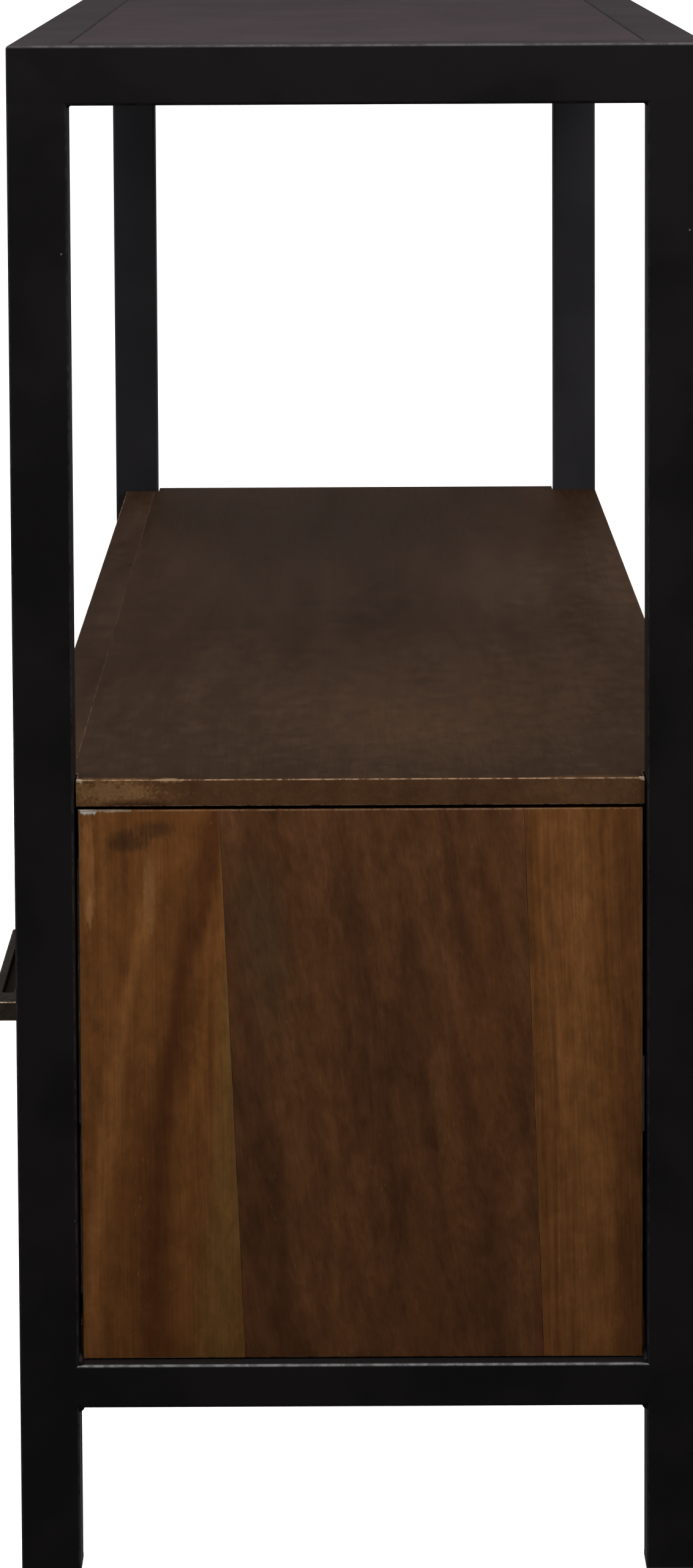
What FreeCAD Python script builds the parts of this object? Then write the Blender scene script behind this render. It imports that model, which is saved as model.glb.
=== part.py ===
import FreeCAD, Part
import math
import os
import re
import Sketcher

# Sideboard with a square-tube steel frame, a flush steel top, an open bay and a low cabinet of
# three deep drawers. Millimetres. X runs along the length, the front faces -Y and Z is up. The
# origin is on the floor, in the middle of the outline that the frame and the pulls fill.

# Driving dimensions: each one is a cell of the sheet, under the name given here.
DRIVING = {
    "overall_length": 1500.0,
    "overall_height": 914.0,
    "frame_depth": 406.0,
    "post_size": 35.0,
    "low_tube": 26.0,
    "tube_wall": 1.5,
    "tube_round": 2.0,
    "post_foot": 11.0,
    "low_rail_under": 109.0,
    "sheet_thick": 3.0,
    "sheet_seam": 0.5,
    "bearer_size": 20.0,
    "shelf_height": 483.0,
    "shelf_board": 16.0,
    "board": 18.0,
    "end_recess": 12.0,
    "front_recess": 9.0,
    "post_gap": 1.0,
    "panel_gap": 2.0,
    "panel_lift": 0.5,
    "panel_drop": 2.0,
    "tongue_play": 0.5,
    "lipping_width": 24.0,
    "back_thick": 12.0,
    "front_gap": 3.0,
    "side_gap": 2.5,
    "box_depth": 340.0,
    "box_height": 264.0,
    "box_lift": 9.0,
    "box_thick": 12.0,
    "groove_deep": 6.0,
    "groove_lift": 10.0,
    "floor_thick": 6.0,
    "floor_play": 0.2,
    "pull_length": 230.0,
    "pull_reach": 34.0,
    "pull_raise": 5.25,
    "pull_thick": 12.0,
    "pull_leg": 28.0,
    "pull_bar": 17.0,
    "channel_lip": 5.5,
    "channel_width": 7.5,
    "channel_deep": 6.0,
    "slide_room": 12.7,
    "slide_steel": 1.2,
    "slide_lift": 124.0,
}

# Sizes worked out from the driving ones.
DERIVED = {
    "half_length": "overall_length / 2",
    "inner_half": "half_length - post_size",
    "front_face": "(pull_reach + front_recess - frame_depth) / 2",
    "post_front": "front_face - front_recess",
    "post_back": "post_front + frame_depth",
    "inner_front": "post_front + post_size",
    "inner_back": "post_back - post_size",
    "low_rail_top": "low_rail_under + low_tube",
    "carcass_top": "shelf_height - shelf_board",
    "panel_low": "low_rail_top + panel_lift",
    "panel_high": "carcass_top - panel_drop",
    "end_thick": "post_size - end_recess",
    "bottom_top": "low_rail_top + board",
    "tongue": "post_size - low_tube - tongue_play",
    "back_front": "post_back - back_thick",
    "bay_width": "(2 * inner_half - 2 * board) / 3",
    "bay_pitch": "bay_width + board",
    "drawer_width": "bay_width - 2 * side_gap",
    "drawer_low": "bottom_top + front_gap",
    "drawer_high": "carcass_top - front_gap",
    "drawer_back": "front_face + board",
    "box_width": "bay_width - 2 * slide_room",
    "box_low": "drawer_low + box_lift",
    "floor_low": "box_low + groove_lift",
    "pull_middle": "(drawer_low + drawer_high) / 2 + pull_raise",
}

SHANK = 2.0  # pull screw shank radius
SHANK_PLAY = 0.05  # radial play of a screw in its own thread or pilot hole
CLEAR_HOLE = 2.4  # radius of the hole a pull screw passes through
PULL_BITE = 14.0  # how far a pull screw reaches into its leg
LOW_SCREW = 2.5  # radius of the screws that hold the cabinet down
LOW_CLEAR = 2.9  # radius of their holes in the low rails
LOW_BITE = 14.0  # how far they reach into the cabinet's bottom board
STUD = 4.0  # radius of a levelling glide's stud
PLUG_PLAY = 0.2  # play of a foot plug inside its post
SIDES = {"left": -1, "centre": 0, "right": 1}

doc = FreeCAD.newDocument("sideboard")
sheet = doc.addObject("Spreadsheet::Sheet", "Sheet")
nodes = {}


def fill_sheet():
    """Write every driving dimension into its own named cell."""
    for row, (alias, value) in enumerate(DRIVING.items(), start=1):
        sheet.set(f"A{row}", alias)
        sheet.set(f"B{row}", str(value))
        sheet.setAlias(f"B{row}", alias)
    doc.recompute()


def bound(formula):
    """Expression text for a formula: derived names written out, driving names read from the sheet."""

    def swap(match):
        word = match.group(0)
        if word in DERIVED:
            return "(" + bound(DERIVED[word]) + ")"
        return "Sheet." + word

    return re.sub(r"[a-z][a-z_]+", swap, str(formula))


def value(formula):
    """Number that a formula gives with the sheet as it stands."""
    return float(sheet.evalExpression(bound(formula).replace("Sheet.", "")))


def place(thing, x, y, z):
    """Bind an object's position to three formulas."""
    for axis, formula in zip("xyz", (x, y, z)):
        thing.setExpression(f"Placement.Base.{axis}", bound(formula))


def keep(name, thing):
    """Give a finished sub-part its name and list it for export."""
    thing.Label = name
    nodes[name] = thing
    return thing


def block(name, corner, size):
    """Rectangular block with its lowest corner and its size given as formulas."""
    thing = doc.addObject("Part::Box", name)
    for prop, formula in zip(("Length", "Width", "Height"), size):
        thing.setExpression(prop, bound(formula))
    place(thing, *corner)
    return thing


def rod(name, radius, length):
    """Round rod along +Z from its own origin."""
    thing = doc.addObject("Part::Cylinder", name)
    thing.Radius = radius
    thing.Height = length
    return thing


def fused(name, pieces):
    """One solid made of touching or overlapping pieces."""
    thing = doc.addObject("Part::MultiFuse", name)
    thing.Shapes = pieces
    return thing


def cut(name, base, tool):
    """Base with tool taken away."""
    thing = doc.addObject("Part::Cut", name)
    thing.Base = base
    thing.Tool = tool
    return thing


def group(name, pieces):
    """Sub-part made of equal separate solids."""
    thing = doc.addObject("Part::Compound", name)
    thing.Links = pieces
    return keep(name, thing)


def new_body(name, x, y, z):
    """Empty body at a place given as formulas."""
    body = doc.addObject("PartDesign::Body", name)
    place(body, x, y, z)
    return keep(name, body)


def new_sketch(body, role, lift=None):
    """Sketch on one of the body's own planes, raised along its normal by a formula."""
    plane = next(f for f in body.Origin.OriginFeatures if f.Role == role)
    sketch = body.newObject("Sketcher::SketchObject", body.Name + "_sketch")
    sketch.AttachmentSupport = [(plane, "")]
    sketch.MapMode = "FlatFace"
    if lift:
        sketch.setExpression("AttachmentOffset.Base.z", bound(lift))
    return sketch


def fix(sketch, kind, places, formula):
    """Add a driving constraint and bind it to a formula."""
    index = sketch.addConstraint(Sketcher.Constraint(kind, *places, value(formula)))
    sketch.setExpression(f"Constraints[{index}]", bound(formula))


def fix_point(sketch, geometry, point, x, y):
    """Hold a point at (x, y) from the sketch's origin, both formulas; "0" puts it on an axis."""
    for kind, axis, formula in (("DistanceX", -2, x), ("DistanceY", -1, y)):
        if formula == "0":
            sketch.addConstraint(Sketcher.Constraint("PointOnObject", geometry, point, axis))
        else:
            fix(sketch, kind, (-1, 1, geometry, point), formula)


def outline(sketch, corners):
    """Closed outline of straight lines through corners given as pairs of formulas."""
    points = [FreeCAD.Vector(value(x), value(y), 0) for x, y in corners]
    first = sketch.GeometryCount
    for start, end in zip(points, points[1:] + points[:1]):
        sketch.addGeometry(Part.LineSegment(start, end), False)
    last = first + len(corners) - 1
    for side in range(first, last + 1):
        follower = side + 1 if side < last else first
        sketch.addConstraint(Sketcher.Constraint("Coincident", side, 2, follower, 1))
    for offset, (x, y) in enumerate(corners):
        fix_point(sketch, first + offset, 1, x, y)


def rectangle(sketch, x, y, wide, high):
    """Rectangle from its corner nearest the origin and its two sizes."""
    far_x = f"{x} + {wide}"
    far_y = f"{y} + {high}"
    outline(sketch, [(x, y), (far_x, y), (far_x, far_y), (x, far_y)])


def circle(sketch, x, y, radius):
    """Circle about a point given as formulas, with a fixed radius."""
    centre = FreeCAD.Vector(value(x), value(y), 0)
    index = sketch.addGeometry(Part.Circle(centre, FreeCAD.Vector(0, 0, 1), radius), False)
    fix_point(sketch, index, 3, x, y)
    sketch.addConstraint(Sketcher.Constraint("Radius", index, radius))


def pad(body, sketch, length, reverse=False):
    """Solid raised from a sketch."""
    feature = body.newObject("PartDesign::Pad", body.Name + "_pad")
    feature.Profile = sketch
    feature.setExpression("Length", bound(length))
    feature.Reversed = reverse
    return feature


def pocket(body, sketch, reverse, length=None):
    """Cut from a sketch, through everything where no length is given; it has to remove material."""
    doc.recompute()
    before = body.Shape.Volume
    feature = body.newObject("PartDesign::Pocket", body.Name + "_pocket")
    feature.Profile = sketch
    feature.Reversed = reverse
    if length is None:
        feature.Type = "ThroughAll"
    else:
        feature.setExpression("Length", bound(length))
    doc.recompute()
    if body.Shape.Volume > before - 1.0:
        raise RuntimeError(f"{body.Label}: a pocket removes nothing")
    return feature


def round_long_edges(body, feature, axis):
    """Round the edges of a straight bar that run along the given axis."""
    doc.recompute()
    names = []
    for index, edge in enumerate(feature.Shape.Edges, start=1):
        run = edge.Vertexes[1].Point - edge.Vertexes[0].Point
        if abs(abs(run.dot(axis)) - run.Length) < 1e-6:
            names.append(f"Edge{index}")
    fillet = body.newObject("PartDesign::Fillet", body.Name + "_fillet")
    fillet.Base = (feature, names)
    fillet.setExpression("Radius", bound("tube_round"))


# Square tubes ------------------------------------------------------------------------------------

AXIS_OF = {
    "XY_Plane": FreeCAD.Vector(0, 0, 1),
    "YZ_Plane": FreeCAD.Vector(1, 0, 0),
    "XZ_Plane": FreeCAD.Vector(0, 1, 0),
}


def square_tube(name, role, size, length, x, y, z):
    """Hollow square tube that runs from the named plane along the positive axis."""
    body = new_body(name, x, y, z)
    outside = new_sketch(body, role)
    rectangle(outside, "0", "0", size, size)
    bar = pad(body, outside, length, reverse=role == "XZ_Plane")
    round_long_edges(body, bar, AXIS_OF[role])
    bore = new_sketch(body, role)
    inner = f"{size} - 2 * tube_wall"
    rectangle(bore, "tube_wall", "tube_wall", inner, inner)
    pocket(body, bore, reverse=role != "XZ_Plane")
    steel = (value(size) ** 2 - value(inner) ** 2) * value(length)
    if abs(body.Shape.Volume - steel) > 0.05 * steel:
        raise RuntimeError(f"{name}: wrong tube volume")
    return body


def mitred_rail(name, length, angle, x, y):
    """Top rail with 45 degree ends; its outer face is on its own X axis before it is turned."""
    body = new_body(name, x, y, "overall_height - post_size")
    body.Placement.Rotation = FreeCAD.Rotation(FreeCAD.Vector(0, 0, 1), angle)
    plan = new_sketch(body, "XY_Plane")
    inner_end = f"{length} - post_size"
    outline(plan, [("0", "0"), (length, "0"), (inner_end, "post_size"), ("post_size", "post_size")])
    bar = pad(body, plan, "post_size")
    round_long_edges(body, bar, AXIS_OF["YZ_Plane"])
    bore = new_sketch(body, "YZ_Plane")
    inner = "post_size - 2 * tube_wall"
    rectangle(bore, "tube_wall", "tube_wall", inner, inner)
    pocket(body, bore, reverse=True)


def build_posts():
    """Four posts from just above the floor to the underside of the top rails."""
    for side, x in (("left", "-half_length"), ("right", "inner_half")):
        for end, y in (("front", "post_front"), ("rear", "inner_back")):
            square_tube(
                f"{end}_{side}_post", "XY_Plane", "post_size",
                "overall_height - post_size - post_foot", x, y, "post_foot",
            )


def build_top_rails():
    """Mitred ring of four rails on the posts."""
    mitred_rail("top_rail_front", "overall_length", 0, "-half_length", "post_front")
    mitred_rail("top_rail_right", "frame_depth", 90, "half_length", "post_front")
    mitred_rail("top_rail_rear", "overall_length", 180, "half_length", "post_back")
    mitred_rail("top_rail_left", "frame_depth", 270, "-half_length", "post_back")


# Middle lines of the front and the rear low rail, where the hold-down screws stand.
SCREW_ROWS = ("post_front + low_tube / 2", "post_back - low_tube / 2")


def screw_stations():
    """Formulas for the X of the hold-down screws, counted from a rail's left end."""
    return [f"inner_half + {step} * bay_pitch" for step in ("-1", "0", "1")]


def build_low_rails():
    """Smaller tubes between the posts; the front and rear ones carry the cabinet."""
    span = "frame_depth - 2 * post_size"
    for side, x in (("left", "-half_length"), ("right", "half_length - low_tube")):
        square_tube(
            f"low_rail_{side}", "XZ_Plane", "low_tube", span, x, "inner_front", "low_rail_under"
        )
    for end, y in (("front", "post_front"), ("rear", "post_back - low_tube")):
        body = square_tube(
            f"low_rail_{end}", "YZ_Plane", "low_tube", "2 * inner_half",
            "-inner_half", y, "low_rail_under",
        )
        holes = new_sketch(body, "XY_Plane")
        for station in screw_stations():
            circle(holes, station, "low_tube / 2", LOW_CLEAR)
        pocket(body, holes, reverse=True)


def build_top():
    """Steel sheet flush with the top rails, on three cross bearers."""
    keep("top_panel", block(
        "top_panel",
        ("sheet_seam - inner_half", "inner_front + sheet_seam", "overall_height - sheet_thick"),
        ("2 * inner_half - 2 * sheet_seam", "frame_depth - 2 * post_size - 2 * sheet_seam", "sheet_thick"),
    ))
    for side, step in SIDES.items():
        square_tube(
            f"top_bearer_{side}", "XZ_Plane", "bearer_size", "frame_depth - 2 * post_size",
            f"{step} * bay_pitch - bearer_size / 2", "inner_front",
            "overall_height - sheet_thick - bearer_size",
        )


# Feet --------------------------------------------------------------------------------------------

FLANGE = 3.0  # thickness of a foot plug's flange
SPIGOT = 20.0  # length of its spigot inside the post
PAD_RADIUS = 14.0  # levelling glide's disc
PAD_THICK = 6.0
STUD_LENGTH = 22.0


def post_corners():
    """Formulas for the lowest corner of each post, in plan."""
    return [(x, y) for x in ("-half_length", "inner_half") for y in ("post_front", "inner_back")]


def build_feet():
    """A plastic plug in the end of each post and a glide screwed into each plug."""
    inset = value("tube_wall") + PLUG_PLAY
    spigot_size = f"post_size - {2 * inset}"
    plugs = []
    glides = []
    for x, y in post_corners():
        centre = (f"{x} + post_size / 2", f"{y} + post_size / 2")
        flange = block("flange", (x, y, f"post_foot - {FLANGE}"), ("post_size", "post_size", FLANGE))
        spigot = block(
            "spigot", (f"{x} + {inset}", f"{y} + {inset}", "post_foot"), (spigot_size, spigot_size, SPIGOT)
        )
        thread = rod("thread", STUD + SHANK_PLAY, FLANGE + SPIGOT)
        place(thread, *centre, f"post_foot - {FLANGE}")
        plugs.append(cut("plug", fused("plug_blank", [flange, spigot]), thread))
        disc = rod("disc", PAD_RADIUS, PAD_THICK)
        stud = rod("stud", STUD, STUD_LENGTH)
        place(disc, *centre, "0")
        place(stud, *centre, PAD_THICK)
        glides.append(fused("glide", [disc, stud]))
    group("foot_plugs", plugs)
    group("levelling_glides", glides)


# Cabinet -----------------------------------------------------------------------------------------

def build_cabinet_top():
    """Shelf board notched round the posts, and the strip along its front edge."""
    past_post = "end_thick + post_gap"
    board_front = "front_face + lipping_width"
    body = new_body("cabinet_top", "end_recess - half_length", board_front, "carcass_top")
    plan = new_sketch(body, "XY_Plane")
    rectangle(plan, "0", "0", "overall_length - 2 * end_recess", "post_back - front_face - lipping_width")
    pad(body, plan, "shelf_board")
    notches = new_sketch(body, "XY_Plane")
    far_side = "overall_length - 2 * end_recess - end_thick - post_gap"
    front_notch = "post_size + post_gap - front_recess - lipping_width"
    rear_notch = "post_size + post_gap"
    for x in ("0", far_side):
        rectangle(notches, x, "0", past_post, front_notch)
        rectangle(notches, x, f"inner_back - post_gap - ({board_front})", past_post, rear_notch)
    pocket(body, notches, reverse=True)
    keep("cabinet_top_lipping", block(
        "cabinet_top_lipping",
        ("post_gap - inner_half", "front_face", "carcass_top"),
        ("2 * inner_half - 2 * post_gap", "lipping_width", "shelf_board"),
    ))


def build_cabinet_walls():
    """End panels rebated for the bottom board, back and the two dividers between the drawers."""
    panel_width = "inner_back - inner_front - 2 * panel_gap"
    for side, x, rebate_x in (
        ("left", "end_recess - half_length", "-inner_half - tongue"),
        ("right", "inner_half", "inner_half"),
    ):
        panel = block(
            "panel",
            (x, "inner_front + panel_gap", "panel_low"),
            ("end_thick", panel_width, "panel_high - panel_low"),
        )
        rebate = block(
            "rebate",
            (rebate_x, "inner_front + panel_gap", "low_rail_top"),
            ("tongue", panel_width, "board"),
        )
        name = f"end_panel_{side}"
        keep(name, cut(name, panel, rebate))
    keep("cabinet_back", block(
        "cabinet_back",
        ("post_gap - inner_half", "back_front", "bottom_top"),
        ("2 * inner_half - 2 * post_gap", "back_thick", "carcass_top - bottom_top"),
    ))
    for side, middle in (("left", "-bay_pitch / 2"), ("right", "bay_pitch / 2")):
        keep(f"divider_{side}", block(
            f"divider_{side}",
            (f"{middle} - board / 2", "front_face", "bottom_top"),
            ("board", "back_front - front_face", "carcass_top - bottom_top"),
        ))


def build_cabinet_bottom():
    """Bottom board: its ends reach into the panels' rebates, and pilot holes for the screws."""
    body = new_body("cabinet_bottom", "-inner_half - tongue", "front_face", "low_rail_top")
    plan = new_sketch(body, "XY_Plane")
    rectangle(plan, "tongue", "0", "2 * inner_half", "post_back - front_face")
    pad(body, plan, "board")
    lip = new_sketch(body, "XY_Plane")
    rectangle(
        lip, "0", "inner_front + tongue_play - front_face",
        "2 * inner_half + 2 * tongue", "inner_back - inner_front - 2 * tongue_play",
    )
    pad(body, lip, "board")
    pilots = new_sketch(body, "XY_Plane")
    for row in SCREW_ROWS:
        for station in screw_stations():
            circle(pilots, f"tongue + {station}", f"{row} - front_face", LOW_SCREW + SHANK_PLAY)
    pocket(body, pilots, reverse=True, length=LOW_BITE + 1.0)


def screw(name, radius, length, head_radius, head_thick):
    """Pan-head screw: the head's seat is at the origin, the shank runs along +Z."""
    shank = rod("shank", radius, length)
    head = rod("head", head_radius, head_thick)
    head.Placement.Base.z = -head_thick
    return fused(name, [head, shank])


def build_cabinet_screws():
    """Screws up through the front and rear low rails into the bottom board."""
    screws = []
    for row in SCREW_ROWS:
        for station in screw_stations():
            one = screw("low_screw", LOW_SCREW, value("low_tube") + LOW_BITE, 5.0, 3.0)
            place(one, f"{station} - inner_half", row, "low_rail_under")
            screws.append(one)
    group("cabinet_screws", screws)


# Drawers -----------------------------------------------------------------------------------------

def build_drawer_front(side, middle):
    """Solid front, set in flush, with two holes for the pull's screws."""
    body = new_body(f"{side}_drawer_front", f"{middle} - drawer_width / 2", "front_face", "drawer_low")
    plan = new_sketch(body, "XY_Plane")
    rectangle(plan, "0", "0", "drawer_width", "board")
    pad(body, plan, "drawer_high - drawer_low")
    holes = new_sketch(body, "XZ_Plane")
    for x in leg_middles("drawer_width"):
        circle(holes, x, "pull_middle - drawer_low", CLEAR_HOLE)
    pocket(body, holes, reverse=False)


def leg_middles(width):
    """Formulas for the X of a pull's two legs, for a pull centred on the given width."""
    return [f"{width} / 2 {sign} (pull_length - pull_leg) / 2" for sign in "-+"]


def build_drawer_box(side, middle):
    """Two grooved sides, a back that stands on the bottom, and the bottom in the grooves."""
    left = f"{middle} - box_width / 2"
    walls = {
        "left": (left, "box_thick - groove_deep"),
        "right": (f"{middle} + box_width / 2 - box_thick", "0"),
    }
    for wall, (x, groove) in walls.items():
        body = new_body(f"{side}_drawer_{wall}_side", x, "drawer_back", "box_low")
        plan = new_sketch(body, "XY_Plane")
        rectangle(plan, "0", "0", "box_thick", "box_depth")
        pad(body, plan, "box_height")
        slot = new_sketch(body, "XZ_Plane")
        rectangle(slot, groove, "groove_lift", "groove_deep", "floor_thick")
        pocket(body, slot, reverse=False)
    keep(f"{side}_drawer_back", block(
        f"{side}_drawer_back",
        (f"{left} + box_thick", "drawer_back + box_depth - box_thick", "floor_low + floor_thick"),
        ("box_width - 2 * box_thick", "box_thick", "box_height - groove_lift - floor_thick"),
    ))
    keep(f"{side}_drawer_bottom", block(
        f"{side}_drawer_bottom",
        (f"{left} + box_thick - groove_deep + floor_play", "drawer_back", "floor_low"),
        ("box_width - 2 * (box_thick - groove_deep + floor_play)", "box_depth", "floor_thick"),
    ))


def channel_outline(sketch):
    """Long slot with round ends, for the channel along a pull's top face."""
    radius = value("channel_width") / 2
    middle_y = value("channel_lip + channel_width / 2")
    left = value("pull_leg") + radius
    right = value("pull_length - pull_leg") - radius
    low, high = middle_y - radius, middle_y + radius
    for start, end, y in ((left, right, low), (right, left, high)):
        line = Part.LineSegment(FreeCAD.Vector(start, y, 0), FreeCAD.Vector(end, y, 0))
        sketch.addGeometry(line, False)
    for x, turn in ((right, -math.pi / 2), (left, math.pi / 2)):
        ring = Part.Circle(FreeCAD.Vector(x, middle_y, 0), FreeCAD.Vector(0, 0, 1), radius)
        sketch.addGeometry(Part.ArcOfCircle(ring, turn, turn + math.pi), False)
    for line, line_point, arc, arc_point in ((0, 2, 2, 1), (1, 1, 2, 2), (1, 2, 3, 1), (0, 1, 3, 2)):
        sketch.addConstraint(Sketcher.Constraint("Tangent", line, line_point, arc, arc_point))
    sketch.addConstraint(Sketcher.Constraint("Horizontal", 0))
    fix_point(sketch, 2, 3, "pull_length - pull_leg - channel_width / 2", "channel_lip + channel_width / 2")
    fix(sketch, "DistanceX", (3, 3, 2, 3), "pull_length - 2 * pull_leg - channel_width")
    fix(sketch, "DistanceY", (0, 1, 1, 2), "channel_width")


def build_pull(side, middle):
    """Flat pull on two broad legs, with a channel along its top, and its two screws."""
    low = "pull_middle - pull_thick / 2"
    body = new_body(f"{side}_pull", f"{middle} - pull_length / 2", "front_face - pull_reach", low)
    plan = new_sketch(body, "XY_Plane")
    rectangle(plan, "0", "0", "pull_length", "pull_reach")
    pad(body, plan, "pull_thick")
    gap = new_sketch(body, "XY_Plane")
    rectangle(gap, "pull_leg", "pull_bar", "pull_length - 2 * pull_leg", "pull_reach - pull_bar")
    pocket(body, gap, reverse=True)
    channel = new_sketch(body, "XY_Plane", lift="pull_thick")
    channel_outline(channel)
    pocket(body, channel, reverse=False, length="channel_deep")
    threads = new_sketch(body, "XZ_Plane", lift="-pull_reach")
    for x in leg_middles("pull_length"):
        circle(threads, x, "pull_thick / 2", SHANK + SHANK_PLAY)
    pocket(body, threads, reverse=True, length=PULL_BITE + 1.0)
    screws = []
    for sign in "-+":
        one = screw("pull_screw", SHANK, value("board") + PULL_BITE, 4.0, 2.5)
        one.Placement.Rotation = FreeCAD.Rotation(FreeCAD.Vector(1, 0, 0), 90)
        place(one, f"{middle} {sign} (pull_length - pull_leg) / 2", "drawer_back", "pull_middle")
        screws.append(one)
    group(f"{side}_pull_screws", screws)


# Each slide member is a channel: where it starts and ends across the slide's thickness, half its
# height, how far its ends stand behind the drawer front, and whether its web faces the drawer.
SLIDE_MEMBERS = {
    "fixed": {"near": 0.0, "far": 10.0, "half": 22.8, "start": 14.0, "run": 340.0, "web_at_drawer": False},
    "middle": {"near": 2.4, "far": 10.9, "half": 20.4, "start": 9.0, "run": 335.0, "web_at_drawer": False},
    "inner": {"near": 5.0, "far": 12.7, "half": 17.9, "start": 4.0, "run": 336.0, "web_at_drawer": True},
}


def slide_channel(kind, wall, sign):
    """Channel beside a bay wall at X = wall; sign says on which side of that wall the drawer is."""
    size = SLIDE_MEMBERS[kind]
    depth = size["far"] - size["near"]
    low_side = size["near"] if sign > 0 else -size["far"]
    height = 2 * size["half"]
    z = f"box_low + slide_lift - {size['half']}"
    y = f"drawer_back + {size['start']}"
    outer = block("channel", (f"{wall} + ({low_side})", y, z), (depth, size["run"], height))
    web_low = (sign > 0) != size["web_at_drawer"]
    shift = "slide_steel" if web_low else "0"
    hollow = block(
        "hollow",
        (f"{wall} + ({low_side}) + {shift}", y, f"{z} + slide_steel"),
        (f"{depth} - slide_steel", size["run"], f"{height} - 2 * slide_steel"),
    )
    return cut("member", outer, hollow)


def build_slides(side, middle):
    """Pair of three-member slides, one on each side of the drawer."""
    for kind in SLIDE_MEMBERS:
        left = slide_channel(kind, f"{middle} - bay_width / 2", 1)
        right = slide_channel(kind, f"{middle} + bay_width / 2", -1)
        group(f"{side}_slides_{kind}", [left, right])


def check_and_write():
    """Stop on any failed object or bad shape, then write one file for each sub-part."""
    doc.recompute()
    for thing in doc.Objects:
        if "Invalid" in thing.State or "Error" in thing.State:
            raise RuntimeError(f"{thing.Label} failed: {thing.State}")
    for name, thing in nodes.items():
        shape = thing.Shape
        if shape.isNull() or not shape.isValid() or not shape.Solids:
            raise RuntimeError(f"{name} has a bad shape")
        if thing.Label != name:
            raise RuntimeError(f"{name} is labelled {thing.Label}")
    os.makedirs("parts", exist_ok=True)
    for name, thing in nodes.items():
        thing.Shape.exportStep(f"parts/{name}.step")
    print(f"{len(nodes)} sub-parts written")


def main():
    """Build the frame, the cabinet and the drawers, then write them."""
    fill_sheet()
    build_posts()
    build_top_rails()
    build_low_rails()
    build_top()
    build_feet()
    build_cabinet_top()
    build_cabinet_walls()
    build_cabinet_bottom()
    build_cabinet_screws()
    for side, step in SIDES.items():
        middle = f"{step} * bay_pitch"
        build_drawer_front(side, middle)
        build_drawer_box(side, middle)
        build_pull(side, middle)
        build_slides(side, middle)
    check_and_write()


main()
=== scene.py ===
"""Visual model of a sideboard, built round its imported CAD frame.

Black square-tube frame with a flush steel top, an open bay, and a low wooden cabinet with three
drawers. Every piece is made in metres in the frame's own axes: X along the sideboard, the front
towards -Y, Z up. Places come from the CAD boxes, and each piece rides on the body that carries it.
"""

import functools
import logging
import math
from dataclasses import dataclass, field, replace
from enum import Enum
from typing import Iterable, Sequence

import bmesh
import bpy
from mathutils import Matrix, Vector, noise


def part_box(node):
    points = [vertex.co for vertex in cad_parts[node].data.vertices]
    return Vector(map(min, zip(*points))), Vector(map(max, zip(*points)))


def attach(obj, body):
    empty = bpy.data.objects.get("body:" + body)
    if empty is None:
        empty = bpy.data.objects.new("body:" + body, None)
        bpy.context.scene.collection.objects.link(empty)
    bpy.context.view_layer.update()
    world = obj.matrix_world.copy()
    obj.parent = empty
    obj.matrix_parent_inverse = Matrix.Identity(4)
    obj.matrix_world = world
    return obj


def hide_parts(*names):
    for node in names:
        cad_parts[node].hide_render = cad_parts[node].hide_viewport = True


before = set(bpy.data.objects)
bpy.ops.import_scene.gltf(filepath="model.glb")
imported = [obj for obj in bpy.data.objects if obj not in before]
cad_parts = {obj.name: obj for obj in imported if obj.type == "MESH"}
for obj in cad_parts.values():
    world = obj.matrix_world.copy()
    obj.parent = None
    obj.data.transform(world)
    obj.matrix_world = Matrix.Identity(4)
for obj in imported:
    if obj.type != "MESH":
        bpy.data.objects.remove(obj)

Point2 = tuple[float, float]
Point3 = tuple[float, float, float]
Colour = tuple[float, float, float]
Feed = bpy.types.NodeSocket | float | tuple[float, ...]
Ring = list[bmesh.types.BMVert]

CORNERS = ("front_left", "front_right", "rear_left", "rear_right")
TINY = 1e-7
SHARP = math.radians(50)
log = logging.getLogger("sideboard")


class Axis(Enum):
    """Direction along which an outline is drawn out, a tube runs or a grain lies."""

    X = 0
    Y = 1
    Z = 2

    def point(self, u: float, v: float, along: float) -> Vector:
        """Place a point of an outline in space.

        Args:
            u: Place along the first axis across this one.
            v: Place along the second axis across this one.
            along: Place along this axis.

        Returns:
            The point.
        """
        values = [u, v]
        values.insert(self.value, along)
        return Vector(values)

    def others(self) -> tuple[int, int]:
        """Return the numbers of the two axes across this one."""
        return tuple(n for n in range(3) if n != self.value)

    def stretch(self, across: float, along: float) -> Point3:
        """Scale a pattern so that it is drawn out along this axis.

        Args:
            across: Scale across this axis.
            along: Scale along it.

        Returns:
            The scales for X, Y and Z.
        """
        scales = [across] * 3
        scales[self.value] = along
        return tuple(scales)


class Side(Enum):
    """Place of a drawer in the row, or of an end of the sideboard."""

    LEFT = "left"
    CENTRE = "centre"
    RIGHT = "right"


# ---------------------------------------------------------------------------------------------
# Finishes
# ---------------------------------------------------------------------------------------------


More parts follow.
